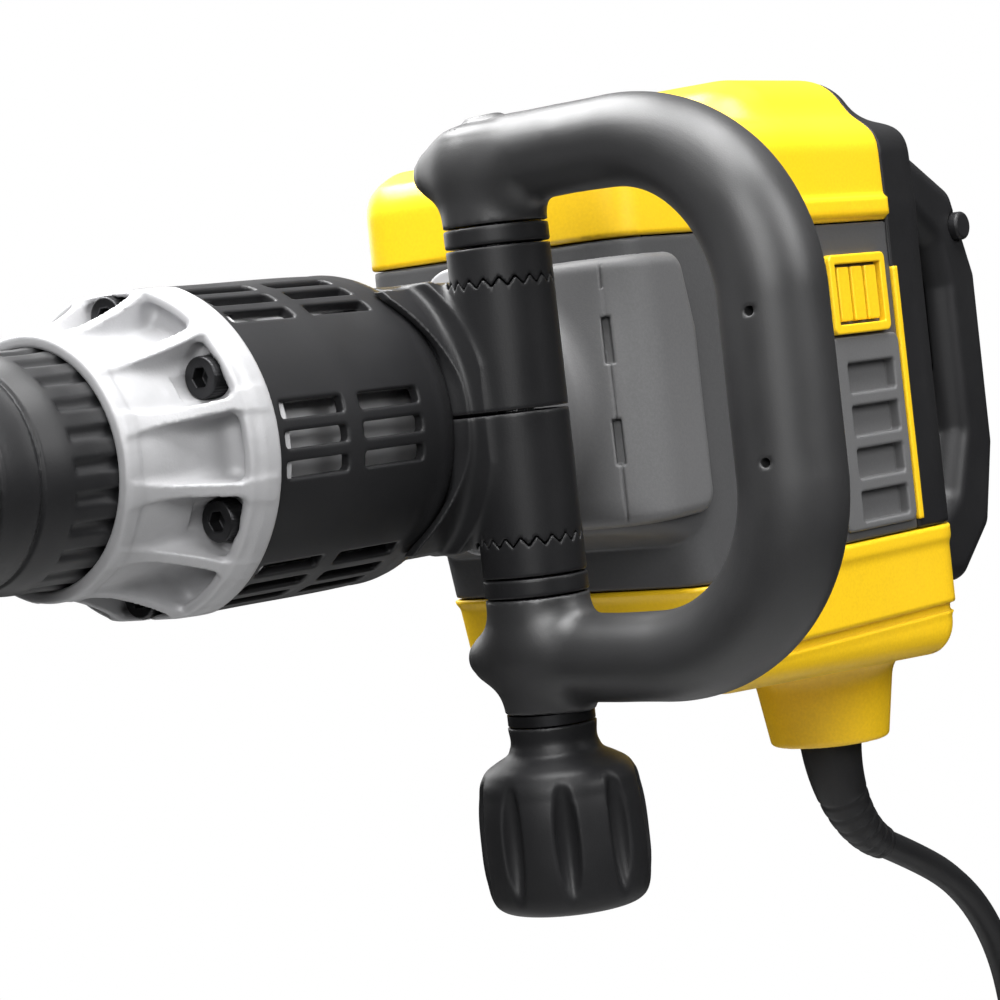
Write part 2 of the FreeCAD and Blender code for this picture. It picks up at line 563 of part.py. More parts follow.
def side_handle():
    x, y = "-column_u", "column_y"
    near = size("column_y")
    loop = made("loop_bar", pipe(handle_line(near + 2), size("grip_r")))
    hubs = [rounded(f"hub_{n}", rod(f"hub_{n}_bar", "hub_r", "hub_end - spacer_end - 0.4", (x, y, low)), 7,
                    lambda edge: edge.Length > 100 and abs(abs(edge.CenterOfMass.z) - size("hub_end")) < 1)
            for n, low in enumerate(("spacer_end + 0.4", "-hub_end"))]
    core = pipe(handle_line(near + 26), size("core_r"))
    bores = group("loop_bores",
                  rod("loop_bolt_bore", "bolt_r + bolt_fit", "240", (x, y, "-120")),
                  rod("loop_head_room", "11.4", "20", (x, y, "hub_end - 14")),
                  made("loop_core_room", pipe(handle_line(near + 25.9), size("core_r") + 0.02)))
    piece("side_handle_loop", cut("loop_bored", join("loop_solid", loop, *hubs), bores))
    piece("side_handle_core", made("loop_core", core))
    head = doc.addObject("Part::Prism", "bolt_head")
    bind(head, Circumradius="10.8", Height="7")
    put(head, (x, y, "hub_end - 13.9"))
    piece("clamp_bolt", join("bolt_solid", head, rod(
        "bolt_bar", "bolt_r", "hub_end - 10 + 150", (x, y, "-150"))))


def knob():
    x, y = "-column_u", "column_y"
    piece("knob_washer", ring("washer", "knob_neck_r", "bolt_r + bolt_fit", "3.4", (x, y, "-hub_end - 3.7")))
    blank = turned("knob_blank", [
        ("0", "0"), ("0", "knob_r - 6"), ("3", "knob_r - 2.5"), ("12", "knob_r - 0.4"), ("30", "knob_r"),
        ("42", "knob_r - 0.8"), ("48", "knob_r - 2.6"), ("53", "knob_r - 8"), ("55", "knob_neck_r"),
        ("62.8", "knob_neck_r"), ("62.8", "bolt_r + 0.06"), ("10", "bolt_r + 0.06"), ("10", "0")],
        (x, y, "-knob_low"), UPWARDS)
    flutes = []
    for n in range(int(size("flutes"))):
        angle = math.radians(20 + 360 * n / size("flutes"))
        flute = doc.addObject("Part::Ellipsoid", f"flute_{n}")
        bind(flute, Radius1="21", Radius2="5.4", Radius3="5.4")
        reach = size("knob_r") + 1.6
        flute.Placement.Base = Vector(-size("column_u") + reach * math.cos(angle),
                                      size("column_y") + reach * math.sin(angle), -size("knob_low") + 29)
        flutes.append(flute)
    piece("clamp_knob", cut("knob_fluted", blank, group("knob_flutes", *flutes)))


# ---------------------------------------------------------------- housing
def casing_outline(inset):
    """Side view of the housing, its corners moved in by inset."""
    return [(f"body_front + {inset}", f"deck_top - 13 - {inset / 2}"),
            (f"body_front + 13 + {inset / 2}", f"deck_top - {inset}"),
            (f"hump_front - 10 + {inset / 2}", f"deck_top + 2 - {inset}"),
            (f"hump_front + 8 + {inset / 2}", f"hump_top - {inset}"),
            (f"484 - {inset / 2}", f"hump_top - {inset}"),
            (f"499 - {inset}", f"hump_top - 14 - {inset}"),
            (f"body_rear - {inset}", f"66 - {inset / 2}"),
            (f"body_rear - {inset}", f"body_low + 12 + {inset / 2}"),
            (f"500 - {inset / 2}", f"body_low + {inset}"),
            (f"352 + {inset / 2}", f"body_low + 7 + {inset}"),
            (f"chin_front + 9 + {inset}", f"-98 + {inset / 2}"),
            (f"chin_front + {inset}", f"band_low + 4"),
            (f"body_front + {inset}", f"-46")]


def whole_casing():
    solid = side_profile("casing_solid", casing_outline(0), "body_half")
    across = rounded("casing_soft", solid, 9,
                     lambda edge: edge.Length > 100 and abs(edge.tangentAt(0).y) > 0.9)
    flank = size("body_half")
    soft = rounded("casing_round", across, 8, lambda edge: all(
        abs(abs(vertex.Y) - flank) < 0.01 for vertex in edge.Vertexes))
    room = side_profile("casing_room", casing_outline(3.5), "body_half - wall")
    mouth = rod("casing_mouth", "barrel_r + 0.3", "20", ("-body_front - 10", "0", "0"), ALONG_X)
    return cut("casing_shell", cut("casing_hollow", soft, room), mouth)


def housing():
    shell = whole_casing()
    wide = "2 * body_half + 20"
    side = "-body_half - 10"
    piece("upper_housing", common("upper_shell", shell, block(
        "upper_slab", ("rear_split - 280", wide, "80"), ("-rear_split + seam", side, "band_top + seam"))))
    low_slab = block("low_slab", ("260", wide, "80"), ("-530", side, "band_low - 80 - seam"))
    boss = doc.addObject("Part::Cone", "boss_cone")
    bind(boss, Radius1="boss_end_r", Radius2="boss_r", Height="32")
    put(boss, ("-boss_u", "0", "boss_low"))
    bowl = join("low_with_boss", common("low_shell", shell, low_slab), boss)
    bore = rod("boss_bore", "boot_r + 0.1", "40", ("-boss_u", "0", "boss_low - 1"))
    piece("lower_housing", cut("low_bored", bowl, bore))
    tall = "band_top - band_low - 2 * seam"
    left_slab = block("left_slab", ("rear_split - 280", "body_half + 10", tall),
                      ("-rear_split + seam", "0.1", "band_low + seam"))
    window = block("vent_window", ("44", "30", "58"), ("-467", "50", "-57"))
    left = cut("left_shell_cut", common("left_shell", shell, left_slab), window)
    piece("left_side_shell", left)
    piece("right_side_shell", mirrored("right_shell", left, (0, 1, 0)))
    piece("rear_cover", common("rear_shell", shell, block(
        "rear_slab", ("60", wide, "200"), ("-rear_split - 60 - seam", side, "band_low + seam"))))


def side_trim():
    pad = rounded("pad_rounded", block("pad_block", ("44", "4.4", "94"), ("-343", "body_half + 0.1", "-46")),
                  3, lambda edge: edge.CenterOfMass.y > size("body_half") + 1)
    grille = block("grille_block", ("52", "1.9", "74"), ("-472", "body_half + 0.1", "-62"))
    slots = group("grille_slots", *[
        block(f"grille_slot_{n}", ("42", "6", "12"), ("-468", "body_half - 2", f"-59 + {n * 15.6}"))
        for n in range(4)])
    badge = rounded("badge_rounded", block(
        "badge_block", ("52", "2.2", "33"), ("-472", "body_half + 0.1", "10")),
        0.8, lambda edge: edge.CenterOfMass.y > size("body_half") + 2)
    for node, item in (("gear_covers", pad), ("side_panels", join(
            "panel_with_badge", cut("grille_cut", grille, slots), badge))):
        piece(node, group(node + "_pair", item, mirrored(node + "_copy", item, (0, 1, 0))))


# ---------------------------------------------------------------- rear handle
def rear_handle():
    outer = side_profile("handle_outer", [
        ("body_rear + 0.3", "62"), ("526", "84"), ("566", "86"), ("598", "68"), ("handle_rear", "34"),
        ("handle_rear", "-44"), ("602", "-78"), ("578", "-97"), ("body_rear + 0.3", "-99")], "handle_half")
    hole = side_profile("handle_hole", [
        ("532", "56"), ("562", "57"), ("577", "44"), ("582", "28"), ("582", "-34"), ("572", "-58"),
        ("558", "-66"), ("532", "-68")], "handle_half + 5")
    frame = cut("handle_frame", outer, hole)
    half = size("handle_half")
    joint = size("body_rear") + 2
    soft = rounded("handle_soft", frame, 5, lambda edge: all(
        abs(abs(vertex.Y) - half) < 0.01 and abs(vertex.X) > joint for vertex in edge.Vertexes))
    rooms = group("handle_rooms",
                  block("trigger_room", ("30", "16.4", "48"), ("-600", "-8.2", "-8")),
                  block("switch_room", ("18", "18", "34"), ("-607", "-9", "-48")),
                  rod("lock_room", "6.1", "20", ("-596", "4.5", "52"), ALONG_Y))
    hollow = cut("handle_hollow", soft, rooms)
    piece("rear_handle_left", common("handle_left", hollow, block(
        "handle_left_slab", ("140", "40", "220"), ("-640", "0.05", "-110"))))
    right = common("handle_right", hollow, block(
        "handle_right_slab", ("140", "40", "220"), ("-640", "-40.05", "-110")))
    spots = ((-520.0, 70.0), (-604.0, 0.0), (-566.0, -82.0), (-520.0, -84.0))
    seats, screws = [], []
    for n, (x, z) in enumerate(spots):
        head, shank = 4.2, 2.2
        seats.append(rod(f"handle_seat_{n}", str(head + 0.2), "4", (x, "-handle_half - 1", z), ALONG_Y))
        head_bar = rod(f"handle_screw_head_{n}", str(head), "2.6", (x, "-handle_half + 0.2", z), ALONG_Y)
        seats.append(rod(f"handle_screw_hole_{n}", str(shank + 0.1), "16",
                         (x, "-handle_half + 2", z), ALONG_Y))
        bar = rod(f"handle_screw_bar_{n}", str(shank), "13", (x, "-handle_half + 2.7", z), ALONG_Y)
        screws.append(join(f"handle_screw_{n}", head_bar, bar))
    piece("rear_handle_right", cut("handle_right_seated", right, group("handle_seats", *seats)))
    piece("handle_screws", group("handle_screw_set", *screws))
    piece("trigger", rounded("trigger_soft", block(
        "trigger_block", ("22", "15", "42"), ("-trigger_front - 22", "-7.5", "-5")), 2.5,
        lambda edge: edge.CenterOfMass.x > -size("trigger_front") - 1))
    piece("trigger_spring", made("trigger_spring_wire", coil_spring(
        3.2, 0.5, 5.4, 4, Vector(-599.2, 0, 16), ALONG_X)))
    piece("power_switch", block("switch_block", ("16", "17", "32"), ("-606", "-8.5", "-47")))
    piece("lock_button", rounded("lock_soft", rod(
        "lock_bar", "6", "13.6", ("-596", "9", "52"), ALONG_Y), 1.5,
        lambda edge: edge.CenterOfMass.y > 22))


def speed_dial():
    bar = rod("dial_bar", "11", "7", ("-430", "-body_half - 7.3", "82"), ALONG_Y)
    notches = group("dial_notches", *[
        rod(f"dial_notch_{n}", "1.4", "5", (
            str(-430 + 11.6 * math.cos(math.pi * n / 6)), "-body_half - 7.5",
            str(82 + 11.6 * math.sin(math.pi * n / 6))), ALONG_Y) for n in range(12)])
    piece("speed_dial", cut("dial_notched", bar, notches))


# ---------------------------------------------------------------- mains cord
# Route of the cord from the end of its boot to the coil, and from the coil to the plug.
LEAD = [(-515.66, -197.68), (-541.0, -209.0), (-566.0, -222.5), (-587.0, -241.0), (-602.0, -266.0),
        (-610.0, -296.0), (-612.0, -324.0), (-610.0, -350.0)]
TAIL = [(-610.0, -450.0), (-611.0, -470.0), (-610.0, -492.0)]


def cord_path(points, name):
    """Straight runs joined by tangent arcs as large as the runs allow."""
    spots = [Vector(x, 0, z) for x, z in points]
    edges, start = [], spots[0]
    for before, corner, after in zip(spots, spots[1:], spots[2:]):
        arrive, leave = (corner - before).normalize(), (after - corner).normalize()
        turn = arrive.getAngle(leave)
        reach = 0.45 * min(before.distanceToPoint(corner), corner.distanceToPoint(after))
        radius = reach / math.tan(turn / 2)
        print(f"{name}: turn {math.degrees(turn):.1f} degrees, radius {radius:.0f} mm")
        first, last = corner - arrive * reach, corner + leave * reach
        middle = (leave - arrive).normalize()
        hub = corner + middle * (radius / math.cos(turn / 2))
        edges.append(Part.LineSegment(start, first).toShape())
        edges.append(Part.Arc(first, hub - middle * radius, last).toShape())
        start = last
    edges.append(Part.LineSegment(start, spots[-1]).toShape())
    return Part.Wire(edges)


def boot_spot(angle):
    """Point on the boot's centre line after a turn of angle degrees, and its direction."""
    bend, lean = size("boot_bend"), math.radians(angle)
    centre = Vector(-size("boss_u") - bend, 0, size("boss_low") - 2)
    spot = centre + Vector(bend * math.cos(lean), 0, -bend * math.sin(lean))
    return spot, Vector(-math.sin(lean), 0, -math.cos(lean))


def mains_cord():
    thick, thin, turn = size("boot_r"), size("boot_end_r"), size("boot_turn")
    top = Vector(-size("boss_u"), 0, size("boss_low"))
    sections = [Part.Wire(Part.makeCircle(thick, top, Vector(0, 0, -1)))]
    steps = 6
    for n in range(steps + 1):
        spot, way = boot_spot(turn * n / steps)
        sections.append(Part.Wire(Part.makeCircle(thick + (thin - thick) * n / steps, spot, way)))
    sleeve = Part.makeLoft(sections, True)
    plug_in = Part.makeCylinder(thick, 16, top)
    piece("cord_boot", made("boot_loft", sleeve.fuse(plug_in)))
    tubes = []
    for name, points in (("cord_lead", LEAD), ("cord_tail", TAIL)):
        path = cord_path(points, name)
        solid = pipe(path, size("cord_r"))
        ratio = solid.Volume / (math.pi * size("cord_r") ** 2 * path.Length)
        print(f"{name}: length {path.Length:.1f} mm, volume {ratio:.4f} of section times length")
        tubes.append(made(name + "_tube", solid))
    piece("cord_tube", group("cord_tubes", *tubes))
    torus = doc.addObject("Part::Torus", "coil_ring")
    bind(torus, Radius1="coil_r", Radius2="coil_thick")
    piece("cord_coil", put(torus, ("coil_x", "0", "coil_z"), ALONG_Y))
    end_x, end_z = TAIL[-1]
    body = doc.addObject("Part::Cone", "plug_cone")
    bind(body, Radius1="18", Radius2="8", Height="38")
    put(body, (str(end_x), "0", str(end_z - 38)))
    pins = [rod(f"plug_pin_{n}", "2.4", "20", (str(end_x), y, str(end_z - 57)))
            for n, y in enumerate(("9.5", "-9.5"))]
    piece("plug", join("plug_with_pins", body, *pins))


def build():
    tool_holder()
    lock_sleeve()
    nose_housing()
    barrel()
    hammer_line()
    crank_train()
    gears()
    ball_bearings()
    gearcase()
    motor()
    clamp()
    side_handle()
    knob()
    housing()
    side_trim()
    rear_handle()
    speed_dial()
    mains_cord()
    doc.recompute()


def check_and_write():
    for item in doc.Objects:
        if "Invalid" in item.State or "Error" in item.State:
            raise RuntimeError(f"{item.Name} is {item.State}")
    for item in PIECES:
        if item.Shape.isNull() or not item.Shape.isValid() or not item.Shape.Solids:
            raise RuntimeError(f"{item.Label} has no valid solid")
    os.makedirs("parts", exist_ok=True)
    for item in PIECES:
        item.Shape.exportStep(f"parts/{item.Label}.step")
    print(f"{len(PIECES)} pieces written")


build()
check_and_write()
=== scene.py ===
import math

import bpy
import numpy as np
from mathutils import Matrix, Vector


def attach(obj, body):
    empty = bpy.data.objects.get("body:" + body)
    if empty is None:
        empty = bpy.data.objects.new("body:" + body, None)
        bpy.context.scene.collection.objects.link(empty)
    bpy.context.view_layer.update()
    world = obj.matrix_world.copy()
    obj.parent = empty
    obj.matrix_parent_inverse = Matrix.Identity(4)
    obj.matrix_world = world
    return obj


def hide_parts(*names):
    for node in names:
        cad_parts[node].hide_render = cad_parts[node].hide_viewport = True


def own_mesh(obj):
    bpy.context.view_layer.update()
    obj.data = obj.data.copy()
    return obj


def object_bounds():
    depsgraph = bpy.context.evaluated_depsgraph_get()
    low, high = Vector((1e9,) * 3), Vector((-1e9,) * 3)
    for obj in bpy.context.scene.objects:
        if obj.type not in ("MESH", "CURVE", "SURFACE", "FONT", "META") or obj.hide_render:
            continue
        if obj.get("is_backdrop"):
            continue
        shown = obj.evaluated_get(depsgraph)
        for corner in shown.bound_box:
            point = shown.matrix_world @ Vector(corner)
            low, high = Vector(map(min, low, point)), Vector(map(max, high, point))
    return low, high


# Demolition hammer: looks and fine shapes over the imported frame. Shapes are in millimetres, and
# MM turns them into metres. +X points to the chisel, +Y to the tool's left and +Z up, with the
# origin at the tool mouth. Along the barrel, u = -x is the distance behind the mouth.

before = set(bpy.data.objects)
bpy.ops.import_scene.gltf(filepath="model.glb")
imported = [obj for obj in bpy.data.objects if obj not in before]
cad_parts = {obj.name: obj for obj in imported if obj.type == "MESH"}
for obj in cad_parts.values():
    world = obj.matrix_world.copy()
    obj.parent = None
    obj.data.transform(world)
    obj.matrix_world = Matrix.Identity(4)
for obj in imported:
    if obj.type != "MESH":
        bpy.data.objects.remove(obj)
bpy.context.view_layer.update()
MM = 0.001


def placed(name, data):
    """A new object in the scene for that data."""
    item = bpy.data.objects.new(name, data)
    bpy.context.scene.collection.objects.link(item)
    return item


# ---------------------------------------------------------------- camera
# Where the camera stands, in metres, its three directions and its lens in millimetres.
EYE = (0.5231, 0.6703, 0.0145)
RIGHT = (-0.6261, 0.7714, -0.1138)
DOWN = (0.1060, -0.0604, -0.9925)
AHEAD = (-0.7725, -0.6335, -0.0439)
LENS = 107.98


def make_camera():
    data = bpy.data.cameras.new("camera")
    data.lens, data.sensor_width = LENS, 36.0
    data.clip_start, data.clip_end = 0.05, 50.0
    item = placed("camera", data)
    columns = (Vector(RIGHT), -Vector(DOWN), -Vector(AHEAD))
    turn = Matrix([[column[row] for column in columns] for row in range(3)])
    item.matrix_world = Matrix.Translation(EYE) @ turn.to_4x4()
    bpy.context.scene.camera = item


make_camera()


# ---------------------------------------------------------------- materials
def nodes_of(name):
    """A new material, its node tree and its surface shader."""
    material = bpy.data.materials.new(name)
    material.use_nodes = True
    tree = material.node_tree
    return material, tree, tree.nodes["Principled BSDF"]


def noise(tree, scale, detail=4.0, rough=0.5, stretch=None):
    """Noise in the piece's own space; stretch is the scale along x, y and z."""
    where = tree.nodes.new("ShaderNodeTexCoord").outputs["Object"]
    if stretch:
        mapping = tree.nodes.new("ShaderNodeMapping")
        mapping.inputs["Scale"].default_value = stretch
        tree.links.new(where, mapping.inputs["Vector"])
        where = mapping.outputs["Vector"]
    item = tree.nodes.new("ShaderNodeTexNoise")
    item.inputs["Scale"].default_value = scale
    item.inputs["Detail"].default_value = detail
    item.inputs["Roughness"].default_value = rough
    tree.links.new(where, item.inputs["Vector"])
    return item.outputs["Fac"]


def ramp(tree, value, stops):
    """The value turned into a colour between stops of place and colour."""
    item = tree.nodes.new("ShaderNodeValToRGB")
    elements = item.color_ramp.elements
    while len(elements) < len(stops):
        elements.new(0.5)
    for element, (place, colour) in zip(elements, stops):
        element.position = place
        element.color = (*colour, 1.0)
    tree.links.new(value, item.inputs["Fac"])
    return item.outputs["Color"]


def grey(value):
    return (value, value, value)


def grey_ramp(tree, value, low, high, places=(0.3, 0.7)):
    """A grey from low to high between two places of the value."""
    return ramp(tree, value, [(places[0], grey(low)), (places[1], grey(high))])


def shade(colour, share):
    return tuple(min(1.0, channel * share) for channel in colour)


def shade_ramp(tree, value, colour, low, high):
    """The colour drifting between two shares of itself."""
    return ramp(tree, value, [(0.3, shade(colour, low)), (0.7, shade(colour, high))])


def mix(tree, share, tone, colour):
    """The tone going over to a plain colour by that share."""
    item = tree.nodes.new("ShaderNodeMix")
    item.data_type = "RGBA"
    tree.links.new(share, item.inputs[0])
    tree.links.new(tone, item.inputs[6])
    item.inputs[7].default_value = (*colour, 1.0)
    return item.outputs[2]


def bump(tree, shader, layers):
    """Chained bump layers: each is a height, its depth in metres and its strength."""
    normal = None
    for height, depth, strength in layers:
        item = tree.nodes.new("ShaderNodeBump")
        item.inputs["Distance"].default_value = depth
        item.inputs["Strength"].default_value = strength
        tree.links.new(height, item.inputs["Height"])
        if normal:
            tree.links.new(normal, item.inputs["Normal"])
        normal = item.outputs["Normal"]
    tree.links.new(normal, shader.inputs["Normal"])


def plastic(name, colour, rough, grain, depth, wear=1.25, gloss=0.5, cloud=0.06):
    """Moulded plastic or rubber: spark-eroded grain, soft colour drift, scuffs and rubbed edges."""
    material, tree, shader = nodes_of(name)
    drift = shade_ramp(tree, noise(tree, 9.0, 3.0), colour, 1 - cloud, 1 + cloud)
    speck = grey_ramp(tree, noise(tree, grain * 0.6, 2.0), 0.0, 1.0, (0.35, 0.75))
    tone = mix(tree, speck, drift, shade(colour, 1.1))
    edge = tree.nodes.new("ShaderNodeNewGeometry").outputs["Pointiness"]
    rubbed = grey_ramp(tree, edge, 0.0, 0.6, (0.52, 0.62))
    tone = mix(tree, rubbed, tone, shade(colour, wear))
    dust = grey_ramp(tree, noise(tree, 55.0, 6.0, 0.7), 0.0, 0.35, (0.55, 0.85))
    tone = mix(tree, dust, tone, tuple(0.8 * channel + 0.008 for channel in colour))
    tree.links.new(tone, shader.inputs["Base Color"])
    uneven = grey_ramp(tree, noise(tree, 30.0, 5.0, 0.6), rough - 0.06, rough + 0.08)
    tree.links.new(uneven, shader.inputs["Roughness"])
    shader.inputs["Specular IOR Level"].default_value = gloss
    bump(tree, shader, [(noise(tree, grain, 3.0, 0.6), depth, 0.5),
                        (noise(tree, 14.0, 2.0), 0.0004, 0.12)])
    return material


def cast_metal(name, colour, rough, grain, depth, metallic):
    """Die-cast or forged metal: sandy skin, with painted shade darkening its hollows."""
    material, tree, shader = nodes_of(name)
    tone = shade_ramp(tree, noise(tree, 22.0, 5.0, 0.6), colour, 0.88, 1.06)
    edge = tree.nodes.new("ShaderNodeNewGeometry").outputs["Pointiness"]
    # Painted shade: where pointiness is low, in hollows and pockets, the colour goes towards 0.55 of
    # itself.
    hollow = grey_ramp(tree, edge, 0.75, 0.0, (0.40, 0.49))
    tone = mix(tree, hollow, tone, shade(colour, 0.55))
    tree.links.new(tone, shader.inputs["Base Color"])
    uneven = grey_ramp(tree, noise(tree, 90.0, 5.0, 0.7), rough - 0.08, rough + 0.1)
    tree.links.new(uneven, shader.inputs["Roughness"])
    shader.inputs["Metallic"].default_value = metallic
    bump(tree, shader, [(noise(tree, grain, 4.0, 0.65), depth, 0.6),
                        (noise(tree, grain * 0.15, 3.0), depth * 3, 0.3)])
    return material


def turned_metal(name, colour, rough, stretch=(1.0, 1.0, 1.0)):
    """Turned or ground steel: fine tool lines, faint stains."""
    material, tree, shader = nodes_of(name)
    tone = shade_ramp(tree, noise(tree, 35.0, 5.0, 0.6), colour, 0.85, 1.08)
    tree.links.new(tone, shader.inputs["Base Color"])
    lines = noise(tree, 900.0, 3.0, 0.6, stretch)
    uneven = grey_ramp(tree, lines, rough - 0.07, rough + 0.1)
    tree.links.new(uneven, shader.inputs["Roughness"])
    shader.inputs["Metallic"].default_value = 1.0
    bump(tree, shader, [(lines, 0.00003, 0.5)])
    return material


YELLOW = plastic("yellow_plastic", (0.93, 0.575, 0.013), 0.36, 1500.0, 0.00004, 1.04, 0.5, 0.03)
BAND = plastic("grey_plastic", (0.070, 0.070, 0.072), 0.50, 1500.0, 0.00010, 1.4, 0.4)
PAD = plastic("light_grey_plastic", (0.120, 0.120, 0.122), 0.52, 1700.0, 0.00012, 1.3, 0.4)
BLACK = plastic("black_plastic", (0.013, 0.013, 0.014), 0.42, 1600.0, 0.00008, 1.5, 0.35)
GRIP = plastic("grip_rubber", (0.026, 0.026, 0.027), 0.42, 2200.0, 0.00007, 1.3, 0.75)
RUBBER = plastic("cord_rubber", (0.012, 0.012, 0.013), 0.46, 1300.0, 0.00009, 1.3, 0.35)
CASTING = cast_metal("cast_aluminium", (0.44, 0.44, 0.45), 0.50, 1400.0, 0.00012, 0.20)
BARREL = cast_metal("machined_aluminium", (0.62, 0.62, 0.63), 0.40, 700.0, 0.00004, 0.35)
STEEL = turned_metal("machined_steel", (0.56, 0.56, 0.57), 0.28, (6.0, 0.4, 0.4))
DARK_STEEL = cast_metal("blackened_steel", (0.035, 0.035, 0.037), 0.38, 1200.0, 0.00005, 0.8)
IRON = cast_metal("motor_iron", (0.25, 0.21, 0.19), 0.5, 900.0, 0.0001, 0.8)
CARBON = plastic("carbon", (0.05, 0.05, 0.05), 0.6, 1500.0, 0.0001)
BRASS = turned_metal("plug_pins", (0.72, 0.58, 0.30), 0.25)

MATERIALS = {
    YELLOW: "upper_housing lower_housing",
    BAND: "left_side_shell right_side_shell",
    PAD: "gear_covers side_panels",
    BLACK: "barrel_cover clamp_upper clamp_lower tooth_collars spacer_rings clamp_knob lock_sleeve "
           "trigger lock_button speed_dial speed_module power_switch cooling_fan brush_plate "
           "rear_cover rear_handle_left rear_handle_right dust_cap",
    GRIP: "side_handle_loop",
    RUBBER: "cord_boot cord_tube cord_coil plug piston_seal striker_seal",
    CASTING: "nose_housing crankcase crankcase_lid",
    BARREL: "barrel_housing",
    STEEL: "tool_holder cylinder_tube piston striker beat_piece beat_bush connecting_rod crankshaft "
           "crank_gear wrist_pin motor_shaft ball_bearings clamp_strap locking_segment_left "
           "locking_segment_right sleeve_spring trigger_spring clamp_bolt side_handle_core",
    DARK_STEEL: "nose_screws handle_screws knob_washer",
    IRON: "stator armature",
    CARBON: "carbon_brushes",
}
MATERIAL_OF = {node: material for material, names in MATERIALS.items() for node in names.split()}
for node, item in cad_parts.items():
    item.data.materials.clear()
    item.data.materials.append(MATERIAL_OF[node])


# ---------------------------------------------------------------- solids from distance fields
CORNERS = np.array([(i, j, k) for i in (0, 1) for j in (0, 1) for k in (0, 1)])
EDGES = [(a, b) for a in range(8) for b in range(a + 1, 8) if abs(CORNERS[a] - CORNERS[b]).sum() == 1]


def both(*fields):
    result = fields[0]
    for other in fields[1:]:
        result = np.maximum(result, other)
    return result


def either(*fields):
    result = fields[0]
    for other in fields[1:]:
        result = np.minimum(result, other)
    return result


def melt(a, b, reach):
    """Union with a fillet of about that reach."""
    share = np.clip(0.5 + 0.5 * (b - a) / reach, 0.0, 1.0)
    return b + (a - b) * share - reach * share * (1 - share)


def carve(a, b, reach):
    """a without b, its new edges eased by that reach."""
    return -melt(-a, b, reach)


def soften(a, b, reach):
    """Intersection with a rounded edge."""
    return -melt(-a, -b, reach)


def box(x, y, z, low, high, soft):
    """Block between two corners, its edges rounded."""
    gaps = [np.abs(p - (a + b) / 2) - (b - a) / 2 + soft for p, a, b in zip((x, y, z), low, high)]
    outside = np.sqrt(sum(np.maximum(gap, 0) ** 2 for gap in gaps))
    return outside + np.minimum(both(*gaps), 0) - soft


def meet(a, b):
    """Distance to the common part of two fields that stand at a right angle to each other."""
    return np.hypot(np.maximum(a, 0), np.maximum(b, 0)) + np.minimum(np.maximum(a, b), 0)


def ease(share):
    """Eases a share from 0 to 1 in and out."""
    return share * share * (3 - 2 * share)


def disc(radial, along, radius, low, high, soft=0.0):
    """Round bar: radial is the distance from its axis, along the place on the axis."""
    side = radial - radius + soft
    end = np.abs(along - (low + high) / 2) - (high - low) / 2 + soft
    return meet(side, end) - soft


def polygon(p, q, points, soft):
    """Distance to a closed outline in one plane, its corners rounded by soft."""
    best, sign = None, 1.0
    for (ax, ay), (bx, by) in zip(points, points[1:] + points[:1]):
        ex, ey = bx - ax, by - ay
        wx, wy = p - ax, q - ay
        share = np.clip((wx * ex + wy * ey) / (ex * ex + ey * ey), 0.0, 1.0)
        gap = (wx - ex * share) ** 2 + (wy - ey * share) ** 2
        best = gap if best is None else np.minimum(best, gap)
        above, below, left = q >= ay, q < by, ex * wy > ey * wx
        sign = np.where((above & below & left) | (~above & ~below & ~left), -sign, sign)
    return sign * np.sqrt(best) - soft


def extrude(flat, across, half, soft):
    """A flat field given a thickness of twice half, its rims rounded."""
    return meet(flat + soft, np.abs(across) - half + soft) - soft


def settle(field, points, step):
    """Moves points onto the field's surface along its slope."""
    nudge = 0.02 * step
    for _ in range(3):
        here = field(*points.T)
        slope = np.stack([(field(*(points + nudge * axis).T) - field(*(points - nudge * axis).T))
                          / (2 * nudge) for axis in np.eye(3)], 1)
        move = here / np.maximum((slope ** 2).sum(1), 0.25)
        shift = slope * np.clip(move, -0.6 * step, 0.6 * step)[:, None]
        points = points - shift
    return points


def skin(field, low, high, step):
    """Vertices and quads of the surface where field is zero."""
    low = np.array(low, float)
    axes = [np.arange(a, b + step, step) for a, b in zip(low, high)]
    grid = np.meshgrid(*axes, indexing="ij", sparse=True)
    values = np.broadcast_to(field(*grid), [len(axis) for axis in axes]).astype(np.float32)
    inside = values < 0
    shape = np.array(values.shape) - 1
    count = np.zeros(shape, np.int8)
    for i, j, k in CORNERS:
        count += inside[i:i + shape[0], j:j + shape[1], k:k + shape[2]]
    cells = np.argwhere((count > 0) & (count < 8))
    index = np.full(shape, -1, np.int64)
    index[tuple(cells.T)] = np.arange(len(cells))
    at = np.stack([values[tuple((cells + corner).T)] for corner in CORNERS], 1).astype(float)
    total, hits = np.zeros((len(cells), 3)), np.zeros(len(cells))
    for a, b in EDGES:
        crossed = (at[:, a] < 0) != (at[:, b] < 0)
        share = np.where(crossed, at[:, a] / np.where(crossed, at[:, a] - at[:, b], 1), 0)
        spot = CORNERS[a] + share[:, None] * (CORNERS[b] - CORNERS[a])
        total += np.where(crossed[:, None], spot, 0)
        hits += crossed
    points = low + (cells + total / hits[:, None]) * step
    quads = []
    for axis in range(3):
        one, two = (axis + 1) % 3, (axis + 2) % 3
        first = np.moveaxis(inside, (axis, one, two), (0, 1, 2))
        table = np.moveaxis(index, (axis, one, two), (0, 1, 2))
        near, far = first[:-1, 1:-1, 1:-1], first[1:, 1:-1, 1:-1]
        for wanted, order in ((near & ~far, 1), (~near & far, -1)):
            a, b, c = np.argwhere(wanted).T
            ring = [table[a, b, c], table[a, b + 1, c], table[a, b + 1, c + 1], table[a, b, c + 1]]
            quads.append(np.stack(ring[::order], 1))
    return settle(field, points, step), np.concatenate(quads)


